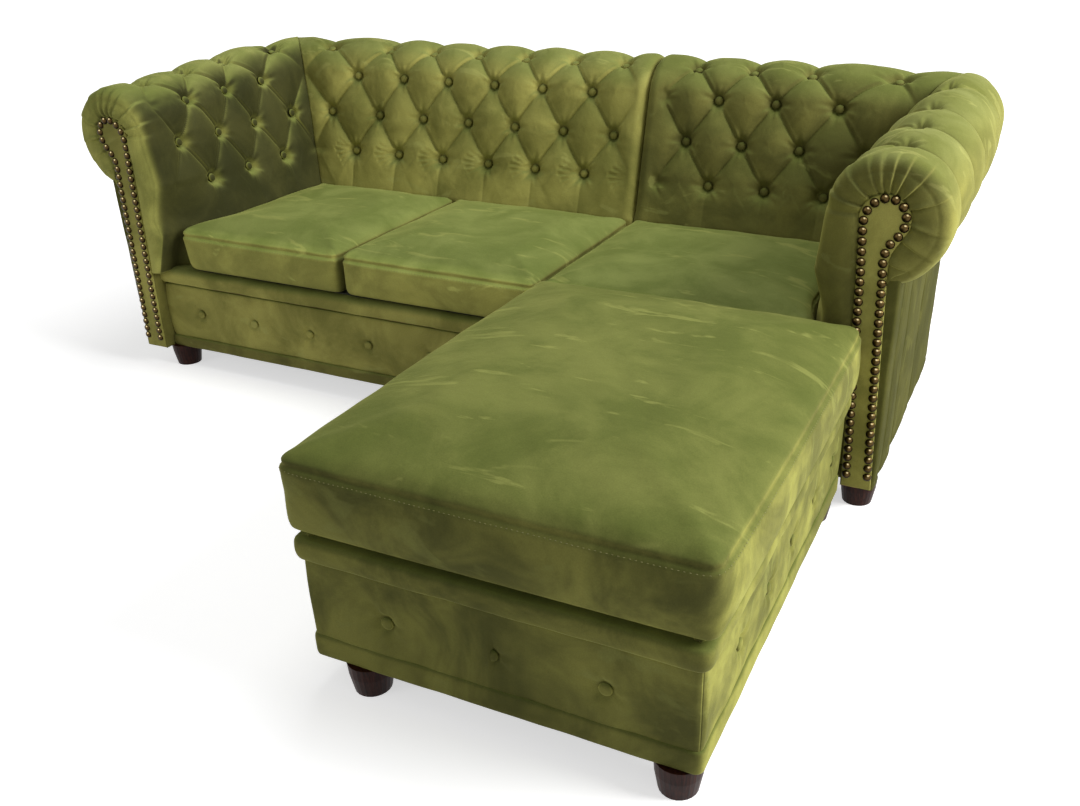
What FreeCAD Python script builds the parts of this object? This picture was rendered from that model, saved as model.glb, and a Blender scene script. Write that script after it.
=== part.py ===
import FreeCAD, Part
import math
import os
import re

import Sketcher
from FreeCAD import Placement, Rotation, Vector

# Chesterfield corner sofa: a two-seat unit with the left arm, a one-seat unit with the right arm
# and a free-standing ottoman in front of it. Lengths are in millimetres. Positions in the sheet
# are measured from the left arm's outer side, from the front of the seat rail and from the floor.

doc = FreeCAD.newDocument("CornerSofa")
sheet = doc.addObject("Spreadsheet::Sheet", "Dims")

SIZES = [
    ("sofa_width", 1960, "between the outer sides of the arms, at the floor"),
    ("unit_joint", 1187, "middle of the joint between the two units"),
    ("unit_gap", 2, "space between the two units"),
    ("foot_height", 56, "floor to the underside of the base"),
    ("cover_thickness", 1.2, "dust cover"),
    ("band_height", 28, "sewn band round the bottom edge"),
    ("panel_thickness", 14, "padded panel on the rails"),
    ("rail_thickness", 22, "seat rails"),
    ("front_rail_top", 262, "height of the front rail, which carries the deck"),
    ("side_rail_top", 273, "height of the rails that carry the arm and back pads"),
    ("side_rail_in", 70, "arm's side rail, from the outer side"),
    ("rail_behind", 55, "rear seat rail behind the back's face"),
    ("rear_rail_thickness", 40, "rear seat rail"),
    ("lip_bottom", 231, "underside of the rolled lip"),
    ("lip_height", 41, "rolled lip"),
    ("lip_reach", 9, "lip stands in front of the panel"),
    ("band_reach", 1.5, "bottom band stands in front of the panel"),
    ("seam_clearance", 0.3, "space left round soft parts that lift out"),
    ("deck_top", 281.7, "height of the felt deck"),
    ("spring_thickness", 4, "zigzag spring"),
    ("spring_width", 48, "zigzag spring, across its bends"),
    ("spring_pitch", 118, "between two springs"),
    ("spring_bends", 9, "bends of one spring"),
    ("cushion_bottom", 282, "underside of the seat cushions"),
    ("cushion_seam", 387, "top seam of the seat cushions"),
    ("cushion_crown", 16, "rise of a cushion above its top seam"),
    ("cushion_front", 3, "seat cushions stand in front of the seat rail"),
    ("cushion_gap", 3, "between two seat cushions"),
    ("cushion_joint", 658, "joint of the first and second seat cushion"),
    ("cushion_corner", 16, "rounding of a cushion's lower edges"),
    ("arm_front", 30, "arm fronts stand in front of the seat rail"),
    ("arm_face", 187, "outer side to the inner face at the seat"),
    ("arm_front_set", 146, "roll's centre behind the inner face, at the arm front"),
    ("arm_front_height", 610, "roll's centre height at the arm front"),
    ("arm_front_radius", 120, "roll's radius at the arm front"),
    ("arm_rear_share", 0.91, "arm's section at the corner over the back's"),
    ("arm_taper", 80, "arm front narrows towards the seat rail by"),
    ("back_face", 545, "seat rail's front to the back's face at the seat"),
    ("back_set", 200, "roll's centre behind the back's face"),
    ("back_height", 655, "roll's centre height on the back"),
    ("back_radius", 116, "roll's radius on the back"),
    ("pad_seat", 384, "height at which the pads start to lean"),
    ("column_pitch", 73.5, "half the distance of two buttons in a row"),
    ("row_pitch", 105, "distance of two button rows along the pad"),
    ("corner_column", 144, "back's first button column, from the outer side"),
    ("corner_row", 55, "arm's first button column behind the back's face"),
    ("crease_depth", 15, "fold between two puffs"),
    ("button_depth", 24, "button below the top of the puffs"),
    ("pleat_depth", 9, "pleat over the roll and down to the seat"),
    ("end_round", 14, "pads drawn in at the joint of the units"),
    ("corner_round", 44, "outer corner of the roll drawn in where an arm meets its back"),
    ("front_round", 24, "arm roll drawn in at its front face"),
    ("button_radius", 11, "covered button"),
    ("button_rise", 6.2, "button's edge above its point"),
    ("button_height", 10, "covered button"),
    ("frame_outer", 28, "arm frame, from the outer side"),
    ("frame_inner", 70, "arm frame's inner face, from the outer side"),
    ("frame_top", 560, "top of the arm frame"),
    ("frame_clearance", 1, "space between the arm frame and its pad"),
    ("frame_behind", 95, "back frame behind the back's face"),
    ("cover_behind", 127.6, "back's outer cover behind the back's face"),
    ("back_frame_top", 575, "top of the back frame"),
    ("back_frame_start", 102, "back frame, from the arm's outer side"),
    ("back_cover", 17.4, "outer cover of the back"),
    ("back_cover_top", 549, "top of the back's outer cover"),
    ("mitre_gap", 0.3, "space between the pads of the arm and the back"),
    ("post_width", 37, "timber posts and top rails"),
    ("board_height", 40, "lower frame boards"),
    ("side_cover_step", 3, "side cover lies behind its front strip by"),
    ("side_cover_drop", 2, "side cover's top edge below the roll, at the front"),
    ("side_cover_rear_drop", 5, "side cover's top edge below the roll, at the back"),
    ("strip_width", 56, "padded strip behind the arm front"),
    ("facing_width", 60, "arm facing at the floor"),
    ("facing_inset", 5, "arm facing at the floor, from the outer side"),
    ("facing_thickness", 5, "arm facing"),
    ("facing_bottom", 60, "lower edge of the arm facing"),
    ("facing_neck", 25.5, "facing's outer edge below its head, from the outer side"),
    ("facing_neck_height", 548, "height of the facing's neck"),
    ("facing_bulb", 47, "radius of the facing's round head"),
    ("facing_bulb_height", 618, "centre of the facing's round head"),
    ("facing_bulb_in", 41, "centre of the facing's head, from the outer side"),
    ("front_button_first", 180, "first button of the front panel, from the left"),
    ("front_button_pitch", 177, "buttons of the front panels"),
    ("front_button_height", 158, "buttons of the front panels, from the floor"),
    ("dimple_radius", 15, "dimple round a panel button"),
    ("dimple_depth", 7, "dimple round a panel button"),
    ("foot_top_radius", 38, "turned foot"),
    ("foot_bottom_radius", 30.5, "turned foot"),
    ("foot_waist_radius", 36.3, "turned foot, at its waist"),
    ("foot_waist_height", 34, "waist of the turned foot, from the floor"),
    ("foot_far_inset", 80, "left feet, from the side"),
    ("foot_near_inset", 38, "right feet, from the side"),
    ("foot_front", 25, "front feet, from the front of the panel"),
    ("foot_rear_inset", 88, "outer rear feet of the sofa, from the side"),
    ("foot_joint_inset", 62, "feet beside the joint of the units"),
    ("stud_radius", 4, "threaded stud of a foot"),
    ("bore_clearance", 0.2, "hole's radius over its stud's or bolt's"),
    ("stud_sink", 34, "stud's length inside the foot"),
    ("stud_rise", 36, "stud's length above the foot"),
    ("bolt_radius", 4, "bolt that joins the units"),
    ("bolt_head", 7, "radius of a joining bolt's head and nut"),
    ("bolt_head_thickness", 6, "head and nut of a joining bolt"),
    ("bolt_height", 150, "joining bolts, from the floor"),
    ("bolt_first", 120, "first joining bolt, from the seat rail's front"),
    ("bolt_pitch", 380, "distance of the joining bolts"),
    ("ottoman_inset", 71, "ottoman's right side, from the right arm's outer side"),
    ("ottoman_width", 645.5, "ottoman's base"),
    ("ottoman_gap", 53, "ottoman to the seat rail"),
    ("ottoman_depth", 840, "ottoman's base"),
    ("ottoman_band", 40, "ottoman's bottom band"),
    ("ottoman_lip_bottom", 241, "underside of the ottoman's lip"),
    ("ottoman_lip_height", 41, "ottoman's lip"),
    ("ottoman_lip_reach", 7.5, "ottoman's lip stands proud of its panels by"),
    ("ottoman_corner", 14, "rounding of the ottoman's upright edges"),
    ("ottoman_deck_top", 287.7, "top of the ottoman's felt deck"),
    ("ottoman_board", 18, "ottoman's top board"),
    ("ottoman_cushion_bottom", 288, "underside of the ottoman's cushion"),
    ("ottoman_cushion_seam", 408, "top seam of the ottoman's cushion"),
    ("ottoman_cushion_reach", 13, "ottoman's cushion overhangs its panels by"),
    ("ottoman_side_button", 168, "first side button, from the ottoman's front"),
    ("ottoman_side_pitch", 150, "side buttons of the ottoman"),
    ("ottoman_front_pitch", 181, "front buttons of the ottoman"),
    ("ottoman_button_height", 160, "ottoman's buttons, from the floor"),
]

for row, (alias, value, meaning) in enumerate(SIZES, start=1):
    sheet.set(f"A{row}", meaning)
    sheet.set(f"B{row}", str(value))
    sheet.setAlias(f"B{row}", alias)
doc.recompute()


class Sizes:
    """The sheet's values by name, for shapes that are worked out here."""

    def __getattr__(self, alias):
        return float(sheet.get(alias))


S = Sizes()

# The frame's origin is on the floor, in the middle of the whole group's outline.
ORIGIN = (
    "sofa_width / 2",
    "(back_face + back_set + back_radius"
    " - ottoman_gap - ottoman_depth - ottoman_cushion_reach) / 2",
    "0",
)


REAR_RAIL = "back_face + rail_behind"
BACK_FRAME = "back_face + frame_behind"
BACK_COVER = "back_face + cover_behind"
SOFA_BACK = "back_face + cover_behind + back_cover"
OTTOMAN_SIDE = "sofa_width - ottoman_inset - ottoman_width"


def bound(text):
    """An expression on the sheet, from the plain names of its cells."""
    return re.sub(r"\b([a-z]+(?:_[a-z]+)+)\b", r"Dims.\1", text)


def worth(text):
    """The present value of an expression on the sheet's names."""
    return float(sheet.evalExpression(bound(text))) if text else 0.0


def settle(thing):
    """Carry a piece that is drawn from the arm's corner into the frame's origin."""
    for axis, middle in zip("xyz", ORIGIN):
        thing.setExpression(f"Placement.Base.{axis}", bound(f"-({middle})"))
    return thing


def board(label, x, y, z):
    """A straight-edged board between two limits along each axis."""
    box = doc.addObject("Part::Box", label)
    for side, (low, high) in zip(("Length", "Width", "Height"), (x, y, z)):
        box.setExpression(side, bound(f"({high}) - ({low})"))
    for axis, (low, high), middle in zip("xyz", (x, y, z), ORIGIN):
        box.setExpression(f"Placement.Base.{axis}", bound(f"({low}) - ({middle})"))
    return box


def together(label, members):
    """Several loose solids that make one sub-part."""
    group = doc.addObject("Part::Compound", label)
    group.Links = members
    return group


def without(label, base, tool):
    """One piece less the room that another takes."""
    cut = doc.addObject("Part::Cut", label)
    cut.Base = base
    cut.Tool = tool
    return cut


def shaped(label, shape):
    """A sub-part whose shape is worked out from the sheet's values."""
    piece = doc.addObject("Part::Feature", label)
    piece.Shape = shape
    settle(piece)
    return piece


def flipped(limits, right):
    """Limits measured from an arm's outer side, on the left or the right arm."""
    low, high = limits
    if right:
        return f"sofa_width - ({high})", f"sofa_width - ({low})"
    return low, high


def side_name(right):
    return "right" if right else "left"


def outline(sketch, corners):
    """A closed outline through corners given as expressions. A third entry bends the side that
    starts there into an arc of that radius, with its middle on the outline's left or right."""
    places = [(worth(corner[0]), worth(corner[1])) for corner in corners]
    count = len(corners)
    for index, corner in enumerate(corners):
        start = Vector(*places[index], 0)
        end = Vector(*places[(index + 1) % count], 0)
        if len(corner) == 2:
            sketch.addGeometry(Part.LineSegment(start, end), False)
            continue
        radius = worth(corner[2])
        half = (end - start) * 0.5
        rise = radius - math.sqrt(max(radius ** 2 - half.Length ** 2, 0))
        across = Vector(half.y, -half.x, 0).normalize()
        sketch.addGeometry(Part.Arc(start, start + half + across * rise, end), False)
    for index, corner in enumerate(corners):
        after = (index + 1) % count
        curve = sketch.Geometry[index]
        begin = Vector(*places[index], 0)
        forward = curve.StartPoint.distanceToPoint(begin) < 1e-6
        next_curve = sketch.Geometry[after]
        next_begin = Vector(*places[after], 0)
        next_forward = next_curve.StartPoint.distanceToPoint(next_begin) < 1e-6
        tail = 2 if forward else 1
        head = 1 if next_forward else 2
        sketch.addConstraint(Sketcher.Constraint("Coincident", index, tail, after, head))
    for index, corner in enumerate(corners):
        curve = sketch.Geometry[index]
        begin = Vector(*places[index], 0)
        point = 1 if curve.StartPoint.distanceToPoint(begin) < 1e-6 else 2
        for kind, text, at in zip(("DistanceX", "DistanceY"), corner, places[index]):
            number = sketch.addConstraint(Sketcher.Constraint(kind, -1, 1, index, point, at))
            sketch.setExpression(f"Constraints[{number}]", bound(text))
        if len(corner) == 3:
            bend = worth(corner[2])
            number = sketch.addConstraint(Sketcher.Constraint("Radius", index, bend))
            sketch.setExpression(f"Constraints[{number}]", bound(corner[2]))


def plane_of(body, role):
    return next(item for item in body.Origin.OriginFeatures if item.Role == role)


def extruded(label, role, corners, start, length):
    """A body whose section is drawn on one of its own planes and carried along its normal."""
    body = doc.addObject("PartDesign::Body", label)
    sketch = body.newObject("Sketcher::SketchObject", label + "_section")
    sketch.AttachmentSupport = [(plane_of(body, role), "")]
    sketch.MapMode = "FlatFace"
    sketch.setExpression("AttachmentOffset.Base.z", bound(start))
    outline(sketch, corners)
    pad = body.newObject("PartDesign::Pad", label + "_length")
    pad.Profile = sketch
    pad.setExpression("Length", bound(length))
    sketch.Visibility = False
    return settle(body)


# Seat bases. Each unit stands on a ring of rails, with zigzag springs from the front rail to the
# rear one, a felt deck on the springs and a black dust cover underneath.

def unit_span(right):
    """The unit's limits in X: its arm's side and its side of the joint."""
    if right:
        return "unit_joint + unit_gap / 2", "sofa_width"
    return "0", "unit_joint - unit_gap / 2"


def unit_limits(right, inset, joint_inset="0"):
    low, high = unit_span(right)
    if right:
        return f"{low} + ({joint_inset})", f"{high} - ({inset})"
    return f"{low} + ({inset})", f"{high} - ({joint_inset})"


def foot_places(right):
    """Middles of a unit's feet in X and Y, as expressions."""
    low, high = unit_span(right)
    rear = f"{REAR_RAIL} + rear_rail_thickness / 2"
    if right:
        return [(f"{high} - foot_near_inset", "foot_front"),
                (f"{high} - foot_rear_inset", rear),
                (f"{low} + foot_joint_inset", "foot_front"),
                (f"{low} + foot_joint_inset", rear)]
    return [(f"{low} + foot_far_inset", "foot_front"),
            (f"{low} + foot_rear_inset", rear),
            (f"{high} - foot_joint_inset", "foot_front"),
            (f"{high} - foot_joint_inset", rear)]


OTTOMAN_FEET = [
    (f"{OTTOMAN_SIDE} + foot_far_inset", "-ottoman_gap - ottoman_depth + foot_front"),
    (f"{OTTOMAN_SIDE} + foot_far_inset", "-ottoman_gap - foot_front"),
    ("sofa_width - ottoman_inset - foot_near_inset",
     "-ottoman_gap - ottoman_depth + foot_front"),
    ("sofa_width - ottoman_inset - foot_near_inset", "-ottoman_gap - foot_front"),
]


SIDES = 8


def faceted(profile, place, direction, sides=SIDES):
    """A small turned shape with flat sides, from radii and heights along a direction. Small
    parts that come in dozens are made this way, with few faces."""
    rings = []
    for radius, height in profile:
        ring = []
        for number in range(sides if radius else 1):
            turn = 2 * math.pi * number / sides
            ring.append(Vector(radius * math.cos(turn), radius * math.sin(turn), height))
        rings.append(ring)
    faces = [flat(ring) for ring in (rings[0], rings[-1]) if len(ring) > 1]
    for lower, upper in zip(rings, rings[1:]):
        for number in range(sides):
            after = (number + 1) % sides
            corners = [lower[number], lower[after]] if len(lower) > 1 else [lower[0]]
            corners += [upper[after], upper[number]] if len(upper) > 1 else [upper[0]]
            faces.append(flat(corners))
    solid = Part.Solid(Part.Shell(faces))
    if solid.Volume < 0:
        solid.reverse()
    solid.Placement = Placement(place, Rotation(Vector(0, 0, 1), direction))
    return solid


def flat(points):
    return Part.Face(Part.makePolygon(points + points[:1]))


def post_at(places, radius, bottom, top):
    """Bars standing at the given places, as one compound."""
    low = worth(bottom)
    rods = []
    for x, y in places:
        foot = Vector(worth(x), worth(y), low)
        rods.append(faceted([(radius, 0), (radius, worth(top) - low)], foot, Vector(0, 0, 1)))
    return Part.makeCompound(rods)


def drilled(label, members, bores):
    """Timber boards with the studs' or bolts' holes."""
    boards = doc.addObject("Part::Compound", label + "_boards")
    boards.Links = members
    holes = doc.addObject("Part::Feature", label + "_holes")
    holes.Shape = bores
    settle(holes)
    return without(label, boards, holes)


FOOT_TOP = "foot_height + cover_thickness"


FOOT_SIDES = 24


def foot_room():
    """Radius of the straight-sided opening that a foot's top goes through."""
    return (S.foot_top_radius + 2 * S.bore_clearance) / math.cos(math.pi / SIDES)


def feet(label, places):
    """Turned mahogany feet, wider at the top, with a blind hole for the stud."""
    top = worth(FOOT_TOP)
    profile = [(S.foot_bottom_radius, 0), (S.foot_waist_radius, S.foot_waist_height),
               (S.foot_top_radius, top)]
    foot = faceted(profile, Vector(), Vector(0, 0, 1), FOOT_SIDES)
    depth = S.stud_sink
    bore = S.stud_radius + S.bore_clearance
    hole = faceted([(bore, 0), (bore, depth)], Vector(0, 0, top - depth), Vector(0, 0, 1))
    foot = foot.cut(hole)
    copies = []
    for x, y in places:
        copy = foot.copy()
        copy.translate(Vector(worth(x), worth(y), 0))
        copies.append(copy)
    return shaped(label, Part.makeCompound(copies))


def spring(x, low, high, top):
    """A flat zigzag of spring wire from the front rail to the rear one."""
    half = S.spring_thickness / 2
    count = int(S.spring_bends)
    step = (high - low) / count
    middle = [(x, low)]
    for bend in range(count):
        side = (-1) ** bend * (S.spring_width / 2 - half)
        middle.append((x + side, low + step * (bend + 0.5)))
    middle.append((x, high))
    one_side = [Vector(px - half, py, top) for px, py in middle]
    other_side = [Vector(px + half, py, top) for px, py in reversed(middle)]
    edge = Part.makePolygon(one_side + other_side + one_side[:1])
    return Part.Face(edge).extrude(Vector(0, 0, -S.spring_thickness))


def base(right):
    """Rails, springs, deck and dust cover of one unit."""
    unit = side_name(right) + "_unit"
    rail = "panel_thickness + rail_thickness"
    bottom = FOOT_TOP
    front = unit_limits(right, "frame_outer")
    bore = S.stud_radius + S.bore_clearance
    studs = post_at(foot_places(right), bore, bottom, f"{bottom} + stud_rise")
    drilled(unit + "_front_rail",
            [board(unit + "_front_rail_board", front, ("panel_thickness", rail),
                   (bottom, "front_rail_top"))], studs)
    rear = unit_limits(right, "side_rail_in")
    drilled(unit + "_rear_rail",
            [board(unit + "_rear_rail_board", rear,
                   (REAR_RAIL, f"{REAR_RAIL} + rear_rail_thickness"),
                   (bottom, "side_rail_top"))], studs)
    arm_side = flipped(("side_rail_in", "side_rail_in + rail_thickness + 2"), right)
    span = unit_span(right)
    if right:
        joint_side = (span[0], f"{span[0]} + rail_thickness")
    else:
        joint_side = (f"{span[1]} - rail_thickness", span[1])
    crossing = (rail, REAR_RAIL)
    boards = [board(unit + "_arm_rail", arm_side, crossing, (bottom, "side_rail_top")),
              board(unit + "_joint_rail", joint_side, crossing, (bottom, "front_rail_top"))]
    if not right:
        middle = "(arm_face + unit_joint) / 2"
        boards.append(board(unit + "_middle_rail",
                            (f"{middle} - rail_thickness / 2", f"{middle} + rail_thickness / 2"),
                            crossing, (bottom, "front_rail_top - spring_thickness")))
    drilled(unit + "_cross_rails", boards, joining_bolts(S.bolt_radius + S.bore_clearance, 0))
    deck_x = flipped(("arm_face + seam_clearance", "arm_face + 1"), right)
    deck = (deck_x[0], f"{span[1]} - 1") if not right else (f"{span[0]} + 1", deck_x[1])
    board(unit + "_deck", deck, ("panel_thickness + seam_clearance", "back_face - seam_clearance"),
          ("front_rail_top", "deck_top"))
    first, last = worth(deck[0]), worth(deck[1])
    count = int((last - first) / S.spring_pitch)
    lead = (last - first - (count - 1) * S.spring_pitch) / 2
    rows = [first + lead + number * S.spring_pitch for number in range(count)]
    zigzags = [spring(x, worth(rail), worth(REAR_RAIL), S.front_rail_top) for x in rows]
    shaped(unit + "_springs", Part.makeCompound(zigzags))
    cover = board(unit + "_dust_sheet", unit_limits(right, "frame_outer"),
                  ("panel_thickness", BACK_COVER), ("foot_height", bottom))
    room = doc.addObject("Part::Feature", unit + "_foot_room")
    room.Shape = post_at(foot_places(right), foot_room(), "foot_height", bottom)
    settle(room)
    without(unit + "_dust_cover", cover, room)
    feet(unit + "_feet", foot_places(right))


def joining_bolts(radius, spare):
    """Round bars through the two rails at the joint; spare lengthens them."""
    reach = S.rail_thickness + S.unit_gap / 2 + spare
    rods = []
    for number in range(2):
        y = S.bolt_first + number * S.bolt_pitch
        start = Vector(S.unit_joint - reach, y, S.bolt_height)
        rods.append(faceted([(radius, 0), (radius, 2 * reach)], start, Vector(1, 0, 0)))
    return Part.makeCompound(rods)


def unit_bolts():
    """Two bolts with head and nut that hold the units together."""
    reach = S.rail_thickness + S.unit_gap / 2
    bolts = []
    for shank in joining_bolts(S.bolt_radius, S.bolt_head_thickness + 2).Solids:
        y = shank.CenterOfMass.y
        for side in (-1, 1):
            place = Vector(S.unit_joint + side * reach, y, S.bolt_height)
            along = Vector(side, 0, 0)
            head = [(S.bolt_head, 0), (S.bolt_head, S.bolt_head_thickness)]
            shank = shank.fuse(faceted(head, place, along, 6))
        bolts.append(shank)
    shaped("unit_joining_bolts", Part.makeCompound(bolts))


def lens(place, normal):
    """A covered button: a shallow cone that sits in its pit, with a domed top."""
    edge = S.button_radius
    profile = [(0, 0), (edge, S.button_rise), (0.75 * edge, 0.9 * S.button_height),
               (0, S.button_height)]
    return faceted(profile, place, normal)


def dimples(label, places, direction):
    """Cones pressed into a panel round its buttons, and the buttons themselves."""
    pits = []
    buttons = []
    for place in places:
        point = place - direction * S.dimple_depth
        pit = [(0, 0), (S.dimple_radius * 1.1, S.dimple_depth * 1.1)]
        pits.append(faceted(pit, point, direction))
        buttons.append(lens(point + direction * S.seam_clearance, direction))
    tool = doc.addObject("Part::Feature", label + "_dimples")
    tool.Shape = Part.makeCompound(pits)
    settle(tool)
    return tool, buttons


def front(right):
    """Padded front of a unit: bottom band, buttoned panel and rolled lip."""
    unit = side_name(right) + "_unit"
    low, high = unit_limits(right, "facing_width + facing_inset + seam_clearance")
    length = f"{high} - ({low})"
    deep = "panel_thickness"
    band_top = f"{FOOT_TOP} + band_height"
    extruded(unit + "_bottom_band", "YZ_Plane",
             [(deep, FOOT_TOP), (deep, band_top),
              ("2 - band_reach", band_top), ("0 - band_reach", f"{band_top} - 4"),
              ("0 - band_reach", f"{FOOT_TOP} + 4"), ("2 - band_reach", FOOT_TOP)],
             low, length)
    lip_top = "lip_bottom + lip_height"
    nose = "lip_height / 2 + 1"
    root = "sqrt(pow(lip_height / 2 + 1; 2) - pow(lip_height / 2; 2))"
    start = f"{nose} - {root} - lip_reach"
    extruded(unit + "_front_lip", "YZ_Plane",
             [(deep, "lip_bottom"), (deep, lip_top), (start, lip_top, nose),
              (start, "lip_bottom")],
             low, length)
    panel = board(unit + "_panel_pad", (low, high), ("0", deep),
                  (band_top, "lip_bottom"))
    places = []
    x = S.front_button_first
    while x < worth(high) - 2 * S.dimple_radius:
        if x > worth(low) + 2 * S.dimple_radius:
            places.append(Vector(x, 0, S.front_button_height))
        x += S.front_button_pitch
    tool, buttons = dimples(unit, places, Vector(0, -1, 0))
    without(unit + "_front_panel", panel, tool)
    shaped(unit + "_front_buttons", Part.makeCompound(buttons))


# Tufted pads. The velvet over the arms and the back is drawn down by buttons in staggered rows.
# Between four buttons it stands up as a puff, and straight folds run from button to button. Above
# the top row the folds run over the roll, and below the bottom row they fall to the seat.

ROWS = 4


class Section:
    """The pad's outline across its length: up the leaning face and round the roll. It gives the
    distance behind the face's foot and the height at any travel along the outline."""

    def __init__(self, reach, height, across, upright):
        self.reach = reach
        self.height = height
        self.across = across
        self.upright = upright
        squash = across / upright
        drop = (S.pad_seat - height) * squash
        away = math.hypot(reach, drop)
        self.start = math.atan2(drop, reach) + math.acos(across / away)
        self.touch = self.on_roll(self.start)
        self.slope = math.hypot(self.touch[0], self.touch[1] - S.pad_seat)

    def on_roll(self, turn):
        return (self.reach - self.across * math.cos(turn),
                self.height + self.upright * math.sin(turn))

    def under(self, wall):
        """Travel at which the roll's underside meets the wall."""
        turn = 2 * math.pi - math.acos((self.reach - wall) / self.across)
        return self.slope + (turn - self.start) * (self.across + self.upright) / 2

    def at(self, travel):
        """Point and outward normal at a travel from the seat."""
        if travel <= 0:
            return (0, S.pad_seat + travel), (-1, 0)
        if travel < self.slope:
            share = travel / self.slope
            rise = self.touch[1] - S.pad_seat
            point = (self.touch[0] * share, S.pad_seat + rise * share)
            return point, (-rise / self.slope, self.touch[0] / self.slope)
        turn = self.start + (travel - self.slope) * 2 / (self.across + self.upright)
        normal = (-math.cos(turn) * self.upright, math.sin(turn) * self.across)
        size = math.hypot(*normal)
        return self.on_roll(turn), (normal[0] / size, normal[1] / size)


def to_even(value):
    """Distance of a value to the nearest even whole number."""
    return abs((value + 1) % 2 - 1)


def swell(distance):
    return math.sin(math.pi / 2 * min(max(distance, 0), 1)) ** 0.7


def tuft(column, row):
    """How far the velvet lies below the top of the puffs, at a column and row of the pattern."""
    if row < 1:
        depth = S.pleat_depth * (1 - swell(to_even(column)))
        return depth * (0.4 + 0.6 * max(row, 0)) if row > -0.2 else 0
    if row > ROWS:
        fade = max(0, 1 - (row - ROWS) / 4)
        return S.pleat_depth * (1 - swell(to_even(column + 1))) * (0.3 + 0.7 * fade)
    one = to_even(column + row - 1)
    other = to_even(column - row + 1)
    if one + other < 0.01:
        return S.button_depth
    return S.crease_depth * (1 - swell(one) * swell(other))


FAN = (1, 0.8, 0.55, 0.33, 0.15, 0.05)
CORNER_BOW = (1, 0.3)
BOW_START, BOW_ROWS = 4.3, 2
FRONT_STEPS = ((0.0, 1.0), (0.16, 0.6), (0.5, 0.22), (1.0, 0.0))
FRONT_LAND = 28
AROUND = ((-1, -1), (0, -1), (1, -1), (1, 0), (1, 1), (0, 1), (-1, 1), (-1, 0))


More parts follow.
